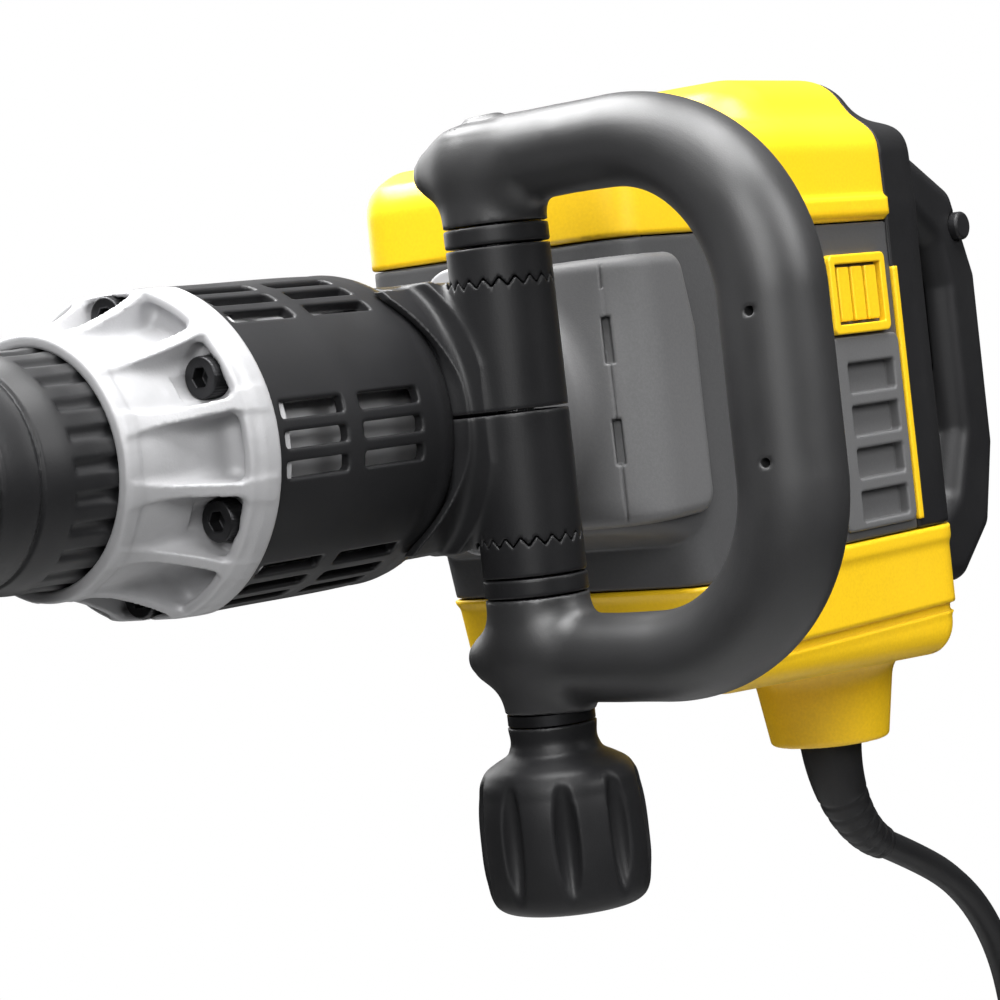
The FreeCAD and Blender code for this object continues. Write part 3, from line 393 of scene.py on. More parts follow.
def riding(name, mesh, material, body, nodes):
    """The mesh as a piece that rides on a body and stands for those CAD nodes."""
    mesh.materials.append(material)
    item = placed(name, mesh)
    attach(item, body)
    if nodes:
        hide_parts(*nodes)
    return item


def solid(name, field, low, high, step, material, body, *nodes):
    """A smooth-shaded piece with the surface of a field, looked for between two corners."""
    points, quads = skin(field, low, high, step)
    mesh = bpy.data.meshes.new(name)
    mesh.vertices.add(len(points))
    mesh.vertices.foreach_set("co", (points * MM).astype(np.float32).ravel())
    mesh.loops.add(quads.size)
    mesh.loops.foreach_set("vertex_index", quads.astype(np.int32).ravel())
    mesh.polygons.add(len(quads))
    mesh.polygons.foreach_set("loop_start", np.arange(0, quads.size, 4, dtype=np.int32))
    mesh.polygons.foreach_set("use_smooth", np.ones(len(quads), bool))
    mesh.update(calc_edges=True)
    return riding(name, mesh, material, body, nodes)


def profile(*pairs):
    """A smooth curve through pairs of place and size, as a function of place."""
    places, sizes = (np.array(row, float) for row in zip(*pairs))
    slopes = np.gradient(sizes, places)
    fine = np.linspace(places[0], places[-1], 400)
    k = np.clip(np.searchsorted(places, fine, "right") - 1, 0, len(places) - 2)
    span = places[k + 1] - places[k]
    t = (fine - places[k]) / span
    curve = ((1 - ease(t)) * sizes[k] + (t ** 3 - 2 * t ** 2 + t) * span * slopes[k]
             + ease(t) * sizes[k + 1] + (t ** 3 - t ** 2) * span * slopes[k + 1])
    return lambda place: np.interp(place, fine, curve)


def around(y, z, spacing, first):
    """Distance from the barrel axis, and angle to the nearest of lines set spacing degrees apart."""
    radial, wedge = np.hypot(y, z), math.radians(spacing)
    turn = np.arctan2(z, y) - math.radians(first)
    return radial, np.abs((turn + wedge / 2) % wedge - wedge / 2)


# ---------------------------------------------------------------- nose casting
RIB_TOP = profile((80, 39.2), (87, 40.0), (96, 42.2), (104, 44.9), (112, 48.2), (119, 51.6),
                  (126, 52.0))
NOSE_WALL = profile((78, 39.5), (92, 39.4), (104, 38.6), (114, 38.8), (120, 41.0), (124, 44.0))
SCREW_RING = 43.2


def nose_field(x, y, z):
    """Ribbed cone with a flange, six screw seats and a flat above and below."""
    u = -x
    radial, turn = around(y, z, 30, 15)
    neck = both(radial - NOSE_WALL(u), 79 - u, u - 126)
    front_ring = disc(radial, u, 40.0, 79, 84.5, 1.2)
    flange = disc(radial, u, 52.5, 123, 130, 1.2)
    lip = np.maximum(disc(radial, u, 52.5, 117.6, 130, 1.4), 49.2 - radial)
    rib = both(turn * radial - 2.0, radial - RIB_TOP(u), 82 - u, u - 126)
    body = melt(melt(melt(neck, flange, 4.0), front_ring, 2.0), rib, 3.6)
    body = melt(body, lip, 3.0)
    screw_line, screw_turn = around(y, z, 60, 30)
    off = np.hypot(screw_line * np.cos(screw_turn) - SCREW_RING, screw_line * np.sin(screw_turn))
    body = melt(body, disc(off, u, 8.6, 121, 126, 0.8), 2.0)
    body = carve(body, disc(off, u, 6.7, 109, 122.9), 0.4)
    body = carve(body, disc(off, u, 4.2, 110, 140), 0.4)
    body = soften(body, np.abs(z) - 50.5, 1.2)
    body = either(body, disc(radial, u, 34.0, 129, 142, 0.8))
    hollow = either(disc(radial, u, 36.3, 70, 107.5, 0.3), disc(radial, u, 31.5, 100, 126, 0.3),
                    disc(radial, u, 24.1, 120, 150, 0.3))
    return carve(body, hollow, 0.8)


solid("nose_casting", nose_field, (-143, -54, -54), (-77, 54, 54), 0.8, CASTING, "root", "nose_housing")


def screw_field(x, y, z):
    """Knurled socket heads and their shanks."""
    u = -x
    line, turn = around(y, z, 60, 30)
    p, q = line * np.cos(turn) - SCREW_RING, line * np.sin(turn)
    off = np.hypot(p, q)
    head = disc(off, u, 6.5, 115, 123, 0.7)
    knurl = 0.12 * np.cos(np.arctan2(q, p) * 36)
    head = np.maximum(head, off - 6.42 - knurl)
    hexagon = both(np.abs(p) - 2.9, np.abs(p) / 2 + np.abs(q) * 0.866 - 2.9, 114 - u, u - 119.5)
    return either(carve(head, hexagon, 0.4), disc(off, u, 4.0, 122, 136.5, 0.4))


for number in range(6):
    lean = math.radians(30 + 60 * number)
    spot = (SCREW_RING * math.cos(lean), SCREW_RING * math.sin(lean))
    solid(f"nose_screw_{number}", screw_field, (-138, spot[0] - 7.5, spot[1] - 7.5),
          (-114, spot[0] + 7.5, spot[1] + 7.5), 0.45, DARK_STEEL, "root", "nose_screws")


# ---------------------------------------------------------------- vented barrel cover
BARREL_ROOM = 40.3
COVER_EDGE = profile((129, 51.3), (150, 51.3), (205, 51.3), (211, 51.1), (213.2, 50.2), (214.2, 48.5))


def cover_field(x, y, z):
    """Tube with six groups of slots, closed towards the barrel at its rear end."""
    u = -x
    radial = np.hypot(y, z)
    wall = both(radial - COVER_EDGE(u), 47.5 - radial, 130.2 - u, u - 213.9)
    back = both(BARREL_ROOM - radial, radial - 50.5, 210.2 - u, u - 214)
    front = both(radial - 51.3, 49.8 - radial, 130.2 - u, u - 140)
    body = either(wall, back)
    body = carve(body, both(radial - 49.8, u - 138.8), 0.3)
    body = either(body, front)
    _, turn = around(y, z, 60, 0)
    height = np.minimum(turn, np.abs(turn - math.radians(10.3))) * radial
    for first in (134.5, 170.0):
        slot = meet(height - 2.6 + 1.3, np.abs(u - first - 14) - 14 + 1.3) - 1.3
        body = carve(body, both(slot, 44 - radial), 0.8)
    return body


solid("vented_cover", cover_field, (-215, -52.5, -52.5), (-129, 52.5, 52.5), 0.8, BLACK, "root",
      "barrel_cover")


# ---------------------------------------------------------------- handle clamp
COLUMN_X, COLUMN_Y, COLUMN_R = -236.0, 59.0, 17.0
BOLT_ROOM = 6.3
TEETH, TOOTH_DEPTH, TOOTH_BASE = 20, 3.0, 41.65
TOOTH_SLOPE = 0.75


def column_line(x, y):
    """Distance from the axis of the clamp bolt."""
    return np.hypot(x - COLUMN_X, y - COLUMN_Y)


def tooth_line(x, y):
    """Height of the saw-tooth joint between clamp and collar, from the clamp's middle."""
    turn = np.arctan2(y - COLUMN_Y, x - COLUMN_X) * TEETH / (2 * math.pi)
    return TOOTH_BASE + TOOTH_DEPTH * (2 * np.abs(turn % 1 - 0.5) - 0.5)


def clamp_field(side):
    """Upper (1) or lower (-1) half: half a column on a saddle, with thin wings over the cover."""
    def field(x, y, z):
        up = z * side
        off, radial = column_line(x, y), np.hypot(y, z)
        column = np.maximum(off - COLUMN_R, up - 48)
        saddle = both(disc(radial, x, 50.2, -257, -215.4, 1.6), -8 - y)
        rear_fin = box(x, y, up, (-257, 20, -6), (-249, 60, 37), 2.0)
        body = melt(melt(column, saddle, 15.0), rear_fin, 6.0)
        front_rib = both(np.abs(x + 222) - 1.6, up - 45, 30 - y, y - 58, radial - 60)
        body = melt(body, front_rib, 6.0)
        tip = -216.5 + 10.5 * np.clip((up - 10) / 30, 0, 1) ** 1.5
        wing = both(radial - 54.6, 51.9 - radial, up - 43, 8 - y, x - tip, -221 - x)
        body = melt(body, wing, 3.0)
        body = soften(body, up - 45.0, 1.6)
        collar_room = both(off - COLUMN_R - 0.5, (tooth_line(x, y) - 0.22 - up) * TOOTH_SLOPE)
        body = carve(body, collar_room, 0.3)
        body = soften(body, 0.45 - up, 0.8)
        body = carve(body, radial - BARREL_ROOM, 0.5)
        return carve(body, off - BOLT_ROOM, 0.4)
    return field


for side, node in ((1, "clamp_upper"), (-1, "clamp_lower")):
    low, high = (-0.5, 54) if side > 0 else (-54, 0.5)
    solid(node + "_casting", clamp_field(side), (-260, -10, low), (-203, 78, high), 0.7, BLACK,
          "clamp", node)


def collar_field(x, y, z):
    """Toothed ring at each end of the clamp."""
    up, off = np.abs(z), column_line(x, y)
    body = both(off - COLUMN_R, up - 53.4)
    body = soften(body, (tooth_line(x, y) + 0.5 - up) * TOOTH_SLOPE, 0.3)
    body = soften(body, up - 53.4, 0.8)
    return carve(body, off - BOLT_ROOM, 0.3)


def spacer_field(x, y, z):
    """Plain ring between each collar and the loop."""
    up, off = np.abs(z), column_line(x, y)
    body = soften(off - COLUMN_R - 0.1, both(53.9 - up, up - 59.9), 0.9)
    return carve(body, off - BOLT_ROOM, 0.3)


for name, field, node in (("toothed_collars", collar_field, "tooth_collars"),
                          ("hub_spacers", spacer_field, "spacer_rings")):
    solid(name, field, (-255, 40, -62), (-217, 78, 62), 0.6, BLACK, "side_handle", node)

# ---------------------------------------------------------------- side handle
HUB = profile((60.4, 17.0), (64, 17.1), (68, 17.3), (72, 17.6), (76, 17.6), (80, 17.0), (84, 15.8),
              (88, 15.1), (98.2, 14.8))
HUB_TOP = profile((60.4, 17.0), (64, 17.1), (68, 17.3), (72, 17.6), (76, 17.8), (80, 17.5), (84, 16.6),
                  (88, 15.0), (91, 12.8), (92.6, 9.5), (93.8, 4.0))
GRIP_RADIUS = profile((29, 0.0), (30, 3.2), (33, 6.6), (38, 9.8), (46, 12.8), (56, 14.3), (68, 14.7),
                      (80, 14.4), (100, 14.3), (120, 14.9), (140, 16.1), (165, 17.4), (200, 17.5))
ARM_Z, LOWER_ARM_DROP = 81.0, 0.9
REACH_Y, TURN_R = 162.3, 54.0
TUBE_START, HUB_FLOOR = 30.0, 60.4
HEAD_ROOM_R, HEAD_ROOM_LOW, HEAD_ROOM_TOP = 11.4, 83.6, 91.5
MARK_Y, MARK_Z = 165.0, 22.8


def loop_field(x, y, z):
    """Two hubs joined by a bent tube: its centre line is a rounded rectangle across the barrel."""
    up, side, off = np.abs(z), x - COLUMN_X, column_line(x, y)
    out, rise = y - (REACH_Y - TURN_R), up - (ARM_Z + LOWER_ARM_DROP * (z < 0) - TURN_R)
    line = meet(out, rise) - TURN_R
    sag = 1.5 * np.clip((90 - y) / 50, 0, 1) * (out < 0)
    tube = np.hypot(line + sag, side) - GRIP_RADIUS(y) + np.maximum(TUBE_START - y, 0)
    hub_r, hub_end = np.where(z > 0, HUB_TOP(up), HUB(up)), np.where(z > 0, 93.6, 98.0)
    hub = both(off - hub_r, HUB_FLOOR - up, up - hub_end)
    body = melt(tube, hub, 7.0)
    body = carve(body, both(off - 2 * COLUMN_R, up - HUB_FLOOR), 0.6)
    body = carve(body, both(off - BOLT_ROOM, z - 90), 0.4)
    body = carve(body, both(off - HEAD_ROOM_R, HEAD_ROOM_LOW - z, z - HEAD_ROOM_TOP), 0.3)
    for height in (MARK_Z, -MARK_Z):
        mark = np.hypot(y - MARK_Y, z - height) - 1.5
        body = carve(body, np.maximum(mark, 5 - side), 0.6)
    return body


solid("grip_loop", loop_field, (-262, 28, -101), (-210, 182, 101), 1.0, GRIP, "side_handle",
      "side_handle_loop")

# ---------------------------------------------------------------- clamp knob
KNOB = profile((102.4, 14.6), (109.5, 14.7), (112.0, 16.2), (114.0, 19.8), (116.0, 23.0), (119.0, 25.2),
               (125, 26.6), (140, 27.6), (152, 27.0), (160, 25.0), (164, 22.0))
FLUTES = 9


def knob_field(x, y, z):
    """Nine lobes: a turned body with an oblong dent between each two of them."""
    down, off = -z, column_line(x, y)
    body = soften(both(off - KNOB(down), 102.5 - down), down - 162.5, 3.0)
    turn = (np.arctan2(y - COLUMN_Y, x - COLUMN_X) * FLUTES / (2 * math.pi) - 0.5) % 1 - 0.5
    across = turn * 2 * math.pi / FLUTES * off
    dent = np.sqrt((across / 4.2) ** 2 + ((down - 136.5) / 23.0) ** 2 + ((off - 29.6) / 6.4) ** 2)
    body = carve(body, (dent - 1) * 5.0, 1.2)
    return carve(body, both(off - 6.05, down - 155), 0.3)


solid("lobed_knob", knob_field, (-265, 30, -166), (-207, 88, -101), 0.7, BLACK, "knob", "clamp_knob")

# ---------------------------------------------------------------- motor housing
HALF = 60.0
BAND_TOP, BAND_LOW, BAND_INSET = 54.0, -66.0, 0.7
FRONT, REAR, REAR_SPLIT = 294.0, 512.0, 474.0
SHELL, BOWL_WALL = 3.5, 7.0
LEDGE_Z, GROOVE_Z, STEP_Z = 59.6, -99.0, -71.5
BOSS_U, BOSS_R, CORD_HOLE_R = 486.0, 28.4, 12.6
RECESS = ((-468.5, 50, -61), (-432, 70, 4))
SIDE_OUTLINE = [(312, 72), (322, 76), (400, 78), (496, 78), (498, 60), (498, -104), (490, -106),
                (354, -100), (346, -91), (341, -66), (337, -44), (308, -35)]
HUMP_OUTLINE = [(412, 60), (416, 92), (426, 95), (474, 95), (484, 84), (492, 60)]


def plan(x, y, soft):
    """Outline seen from above, its front corners well rounded."""
    end = np.abs(x + (FRONT + REAR) / 2) - (REAR - FRONT) / 2 + soft
    return meet(end, np.abs(y) - HALF + soft) - soft


def casing(x, y, z):
    """The whole outer form before it is divided."""
    body = soften(polygon(-x, z, SIDE_OUTLINE, 14.0), plan(x, y, 22.0), 12.0)
    hump_side = np.abs(y) - 53.0 + np.maximum(z - 60, 0) * 0.12
    return melt(body, soften(polygon(-x, z, HUMP_OUTLINE, 18.0), hump_side, 26.0), 10.0)


def shell_cut(form, x, y, z):
    """The form as a wall, hollow inside the casing."""
    return np.maximum(form, -(casing(x, y, z) + SHELL))


def band_low(x):
    """Height of the joint between band and bowl, a little lower across the front."""
    return BAND_LOW - 4.0 * np.clip((352 + x) / 12, 0, 1)


def upper_field(x, y, z):
    """Yellow top, with a raised ledge along the rear of its lower edge."""
    form = casing(x, y, z)
    ledge = both(form - 1.6, np.abs(z - LEDGE_Z) - 3.6, -x - 485, 396 + x)
    form = melt(form, ledge, 1.6)
    form = soften(form, BAND_TOP + 0.25 - z, 1.2)
    form = soften(form, -x - REAR_SPLIT + 0.25, 0.8)
    return shell_cut(form, x, y, z)


def lower_field(x, y, z):
    """Yellow bowl: a step below its rim, a groove, a narrower foot and the tapered cord boss."""
    form = casing(x, y, z)
    form = form + 1.8 * ease(np.clip((GROOVE_Z - z) / 4.0, 0, 1))
    form = carve(form, both(np.abs(z - GROOVE_Z) - 0.7, -(form + 2.2)), 0.8)
    form = form + 0.9 * np.clip((STEP_Z - z) / 2.5, 0, 1)
    line = np.hypot(x + BOSS_U, y)
    boss = disc(line - (z + 120) * 0.155, z, BOSS_R, -150, -92, 1.6)
    form = melt(form, boss, 11.0)
    form = soften(form, z - band_low(x) + 0.25, 1.0)
    body = np.maximum(form, -(casing(x, y, z) + BOWL_WALL))
    body = either(body, np.maximum(boss + 0.2, z + 112))
    return carve(body, both(line - CORD_HOLE_R, z + 110), 0.8)


def band_field(side):
    """Left (1) or right (-1) shell, open for the barrel and sunk under the vent grille."""
    def field(x, y, z):
        form = casing(x, y, z) + BAND_INSET
        form = soften(form, z - BAND_TOP + 0.3, 0.9)
        form = soften(form, band_low(x) + 0.3 - z, 0.9)
        form = soften(form, -x - REAR_SPLIT + 0.3, 0.9)
        form = np.maximum(form, 0.12 - y * side)
        body = shell_cut(form, x, y, z)
        body = carve(body, np.maximum(np.hypot(y, z) - 40.5, -x - 314), 0.8)
        return carve(body, box(x, y * side, z, *RECESS, 1.5), 0.5)
    return field


def rear_field(x, y, z):
    """Black rear case."""
    form = casing(x, y, z) + 0.3
    form = soften(form, x + REAR_SPLIT + 0.25, 0.9)
    form = soften(form, band_low(x) + 0.3 - z, 0.9)
    return shell_cut(form, x, y, z)


CASE_LOW, CASE_HIGH = (-522, -62.5, -152), (-292, 62.5, 115)


def within(low=CASE_LOW, high=CASE_HIGH, **limits):
    """The housing's box with some of its limits replaced."""
    low, high = list(low), list(high)
    for key, value in limits.items():
        (low if key.startswith("low") else high)["xyz".index(key[-1])] = value
    return low, high


CASE_STEP = 1.3
solid("yellow_top", upper_field, *within(low_x=-475, low_z=53), CASE_STEP, YELLOW, "root",
      "upper_housing")
solid("yellow_bowl", lower_field, *within(high_z=-65, high_x=-300), CASE_STEP, YELLOW, "root",
      "lower_housing")
solid("band_left", band_field(1), *within(low_x=-475, low_y=-1, low_z=-71.5, high_z=55), CASE_STEP,
      BAND, "root", "left_side_shell")
solid("band_right", band_field(-1), *within(low_x=-475, high_y=1, low_z=-71.5, high_z=55), CASE_STEP,
      BAND, "root", "right_side_shell")
solid("rear_case", rear_field, *within(high_x=-473, low_z=-67), CASE_STEP, BLACK, "root", "rear_cover")


PAD_OUTLINE = [(280, 40), (325, 40), (329, 20), (329, -36), (280, -38)]
PAD_THICK = 3.6
ARC_X, ARC_Y, ARC_R, SPLIT_ANGLE = -316.0, 38.0, 25.6, 0.672
NOTCHES = ((19.5, 8.0), (-15.5, 7.8))


def pad_field(x, y, z):
    """Raised cover over the gears on each side, wrapped round the front corner and split along it."""
    side, radial = np.abs(y), np.hypot(y, z)
    form = casing(x, y, z) - PAD_THICK
    edge = extrude(polygon(-x, z, PAD_OUTLINE, 8.0), side, 90, 1.0)
    body = soften(form, edge, 5.0)
    body = np.maximum(body, 0.1 - (form + PAD_THICK + BAND_INSET))
    body = np.maximum(body, 24.0 - side)
    neck = both(radial - 42.4, 20.0 - side, -292.0 - x, x + 259.0)
    body = melt(body, neck, 8.0)
    along = (np.arctan2(side - ARC_Y, x - ARC_X) - SPLIT_ANGLE) * ARC_R
    body = carve(body, both(np.abs(along) - 0.3, -form - 1.2), 0.4)
    for middle, half in NOTCHES:
        body = carve(body, both(np.abs(along) - 1.7, np.abs(z - middle) - half, -form - 3.2), 0.4)
    return carve(body, both(radial - BARREL_ROOM, -x - 300), 0.5)


def flank(name, field, low, high, step, material, *nodes):
    """A piece on each side. The corners are for the left one, which stands for the nodes."""
    solid(name + "_left", field, low, high, step, material, "root", *nodes)
    solid(name + "_right", field, (low[0], -high[1], low[2]), (high[0], -low[1], high[2]), step,
          material, "root")


flank("gear_pad", pad_field, (-347, 18, -52), (-257, 66, 52), 0.7, PAD, "gear_covers")


def upright(low_u, low_z, high_u, high_z):
    """The outline of a rectangle seen from the side."""
    return [(low_u, low_z), (high_u, low_z), (high_u, high_z), (low_u, high_z)]


POCKETS, POCKET_PITCH, POCKET_FIRST = 4, 16.2, -59.5


def grille_field(x, y, z):
    """Plate with four pockets, each closed by a floor behind it."""
    side = np.abs(y)
    body = extrude(polygon(-x, z, upright(426, -58, 468, 7), 4.0), side - 58.1, 2.7, 0.8)
    for number in range(POCKETS):
        low = POCKET_FIRST + number * POCKET_PITCH
        opening = polygon(-x, z, upright(435.5, low + 2, 465.5, low + 10.5), 1.5)
        floor = box(x, side, z, (-468.5, 54.4, low - 1), (-432.5, 56.4, low + 13.5), 0.3)
        body = either(carve(body, extrude(opening, side - 63.0, 6.8, 0.4), 0.7), floor)
    return body


def badge_field(x, y, z):
    """Plain raised frame round three plain blocks, with no lettering."""
    side = np.abs(y)
    outline = polygon(-x, z, upright(429, 14.5, 463, 39.5), 2.5)
    body = extrude(outline, side - 59.6, 2.7, 0.5)
    body = carve(body, np.maximum(outline + 3.6, 50 - side), 0.3)
    for middle in (436.4, 446.0, 455.6):
        block = polygon(-x, z, upright(middle - 3.1, 17.6, middle + 3.1, 36.4), 0.8)
        body = either(body, extrude(block, side - 59.4, 2.2, 0.4))
    return body


flank("vent_grille", grille_field, (-474, 53, -64), (-420, 62.5, 13), 0.6, PAD, "side_panels")
flank("badge", badge_field, (-467, 57.5, 10.5), (-425, 63, 43.5), 0.5, YELLOW)


def trim_field(x, y, z):
    """Thin yellow strip down the joint between the side shells and the rear case."""
    form = casing(x, y, z)
    return both(form - 0.8, -form - 1.6, np.abs(-x - 475.2) - 1.6, z - 36, -62 - z, 40 - np.abs(y))


solid("rear_trim", trim_field, (-479, -62, -64), (-472, 62, 38), 0.6, YELLOW, "root")


def front_flange_field(x, y, z):
    """Upright plate round the barrel, on the front of the housing."""
    plate = extrude(polygon(y, z, upright(-9, -36, 9, 36), 15.0), x + FRONT, 2.4, 0.8)
    return carve(plate, np.hypot(y, z) - 40.6, 0.8)


solid("crankcase_flange", front_flange_field, (-295, -53, -53), (-283, 53, 53), 1.0, CASTING, "root")

# ---------------------------------------------------------------- tool end
SLEEVE = profile((28, 30.4), (30, 31.8), (40, 33.2), (50, 33.4), (60, 35.6), (70, 35.9), (88, 35.9),
                 (92, 34.8))


def sleeve_field(x, y, z):
    """Fluted release sleeve with its skirt inside the nose."""
    u = -x
    radial, turn = around(y, z, 15, 0)
    flute = np.hypot(turn * radial / 2.2, (radial - 37.4) / 2.6) - 1
    body = both(radial - SLEEVE(u), 28 - u, u - 91.8)
    body = carve(body, np.maximum(flute * 2.0, np.abs(u - 76) - 13), 1.0)
    body = melt(body, disc(radial, u, 31.0, 85, 112, 0.8), 1.5)
    for ring_u in (33.5, 37.0, 52.0):
        body = carve(body, np.maximum(np.abs(u - ring_u) - 0.6, SLEEVE(u) - 1.0 - radial), 0.5)
    hollow = either(disc(radial, u, 26.6, 32, 76, 0.3), disc(radial, u, 24.2, 20, 120, 0.3),
                    disc(radial, u, 29.6, 88, 120, 0.3))
    return carve(body, hollow, 0.5)


solid("release_sleeve", sleeve_field, (-113, -37, -37), (-27, 37, 37), 0.8, BLACK, "sleeve",
      "lock_sleeve")

CAP = profile((-6, 13.0), (-4, 18.0), (-2, 22.6), (3, 26.2), (10, 26.6), (18, 27.0), (22, 27.0))


def cap_field(x, y, z):
    """Ringed cap over the mouth of the tool holder."""
    u = -x
    radial = np.hypot(y, z)
    body = both(radial - CAP(u), -6 - u, u - 21.8)
    for ring_u in (6.0, 10.0, 14.0):
        body = carve(body, np.maximum(np.abs(u - ring_u) - 0.7, 25.6 - radial), 0.6)
    hollow = either(disc(radial, u, 9.8, -10, 4, 0.4), disc(radial, u, 19.1, -0.1, 30, 0.3))
    return carve(body, hollow, 0.8)


solid("rubber_cap", cap_field, (-23, -28, -28), (7, 28, 28), 0.7, RUBBER, "root", "dust_cap")

# ---------------------------------------------------------------- rear handle
BUTTON_U, BUTTON_Z = 596.0, 52.0
HANDLE_SCREWS = ((520.0, 70.0), (604.0, 0.0), (566.0, -82.0), (520.0, -84.0))
HANDLE_OUT = [(518, 54), (530, 75), (562, 76), (590, 61), (602, 30), (602, -40), (593, -71), (574, -87),
              (518, -89)]
HANDLE_GAP = [(539, 49), (558, 50), (571, 41), (575, 26), (575, -32), (566, -53), (554, -60),
              (539, -61)]


def rear_handle_field(x, y, z):
    """D handle of two halves, with rooms for the trigger, the switch and the lock button."""
    u = -x
    outer = extrude(polygon(u, z, HANDLE_OUT, 10.0), y, 19.0, 9.0)
    gap = polygon(u, z, HANDLE_GAP, 7.0) - np.maximum(np.abs(y) - 8.0, 0) ** 2 * 0.05
    body = carve(outer, gap, 3.0)
    body = carve(body, both(np.abs(y) - 0.3, -(outer + 0.6)), 0.4)
    rooms = either(box(x, y, z, (-600, -8.3, -8.5), (-560, 8.3, 40.5), 1.0),
                   box(x, y, z, (-607, -9, -48), (-589, 9, -14), 0.5),
                   disc(np.hypot(u - BUTTON_U, z - BUTTON_Z), y, 6.3, 4.5, 30))
    body = carve(body, rooms, 0.6)
    for spot_u, spot_z in HANDLE_SCREWS:
        off = np.hypot(u - spot_u, z - spot_z)
        body = carve(body, either(disc(off, y, 4.5, -22, -15.5), disc(off, y, 2.3, -22, -2.5)), 0.3)
    return np.maximum(body, 512.3 - u)


solid("rear_grip", rear_handle_field, (-614, -20.5, -101), (-511, 20.5, 88), 0.9, BLACK, "root",
      "rear_handle_left", "rear_handle_right")


def overmould_field(x, y, z):
    """Soft rubber pad on the rear strap, with cross ribs for the palm."""
    u = -x
    outer = extrude(polygon(u, z, HANDLE_OUT, 10.0), y, 19.0, 9.0)
    ribs = 0.175 * np.cos(z * 2 * math.pi / 7.0)
    patch = box(u, y, z, (588, -13, -62), (620, 13, 44), 6.0)
    body = soften(outer - 0.9 - ribs, patch, 1.5)
    keep_out = disc(np.hypot(u - BUTTON_U, z - BUTTON_Z), y, 8.0, 0, 30)
    return carve(np.maximum(body, -(outer + 1.0)), keep_out, 0.5)


solid("palm_pad", overmould_field, (-616, -15, -64), (-586, 15, 46), 0.8, GRIP, "root")


# ---------------------------------------------------------------- springs
def shortening_spring(node):
    """A copy of the spring with a mesh of its own, fixed to the root in place of the hidden CAD spring.
    """
    item = placed(node + "_wire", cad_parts[node].data.copy())
    item.matrix_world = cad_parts[node].matrix_world.copy()
    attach(item, "root")
    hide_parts(node)
    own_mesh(item)


shortening_spring("sleeve_spring")
shortening_spring("trigger_spring")

# ---------------------------------------------------------------- mains cord
CORD = 0.012
LEAD = [(-515.66, 0, -197.68), (-541.0, 0, -209.0), (-566.0, 0, -222.5), (-587.0, 0, -241.0),
        (-603.0, -1, -266.0), (-612.0, -3, -296.0), (-617.0, -6, -324.0), (-621.0, -10, -352.0),
        (-623.0, -12, -378.0)]
TAIL = [(-622.5, 0, -424.0), (-618.0, 0, -448.0), (-612.0, 0, -470.0), (-610.0, 0, -492.0)]
COIL_X, COIL_Z, COIL_R = -547.0, -400.0, 63.0
PLACES = [(12, -12), (0, -12), (-12, -12), (-12, 0), (0, 0), (-12, 12), (0, 12), (12, 12), (12, 0)]
PER_TURN = 16


def coil_points():
    """Turns side by side and on each other; each steps to its next place along the lower right."""
    swell = 1 / (0.75 + 0.25 * math.cos(2 * math.pi / PER_TURN))
    points = []
    for n in range(len(PLACES) * PER_TURN + 1):
        number = min(n // PER_TURN, len(PLACES) - 1)
        share = n / PER_TURN - number
        step = ease(min(max((share - 0.25) / 0.25, 0.0), 1.0))
        here, after = PLACES[number], PLACES[min(number + 1, len(PLACES) - 1)]
        reach = (COIL_R + here[0] + (after[0] - here[0]) * step) * swell
        turn = math.pi + 2 * math.pi * n / PER_TURN
        points.append((COIL_X + reach * math.cos(turn), here[1] + (after[1] - here[1]) * step,
                       COIL_Z + reach * math.sin(turn)))
    return points


def make_cord():
    """Lead, bundle and tail as one round curve."""
    points = LEAD + coil_points() + TAIL
    data = bpy.data.curves.new("mains_cord", "CURVE")
    data.dimensions = "3D"
    data.bevel_depth = CORD / 2
    data.bevel_resolution = 6
    data.resolution_u = 6
    data.use_fill_caps = True
    line = data.splines.new("NURBS")
    line.points.add(len(points) - 1)
    for spot, (x, y, z) in zip(line.points, points):
        spot.co = (x * MM, y * MM, z * MM, 1.0)
    line.order_u = 3
    line.use_endpoint_u = True
    data.materials.append(RUBBER)
    item = placed("mains_cord", data)
    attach(item, "root")
    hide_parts("cord_tube", "cord_coil")
    return item


BOOT_BEND, BOOT_TURN, BOOT_THICK, BOOT_THIN = 50.0, 66.0, 12.4, 7.0
BOOT_RINGS, RINGS_FROM = 9, 0.35
BOSS_LOW = -150.0


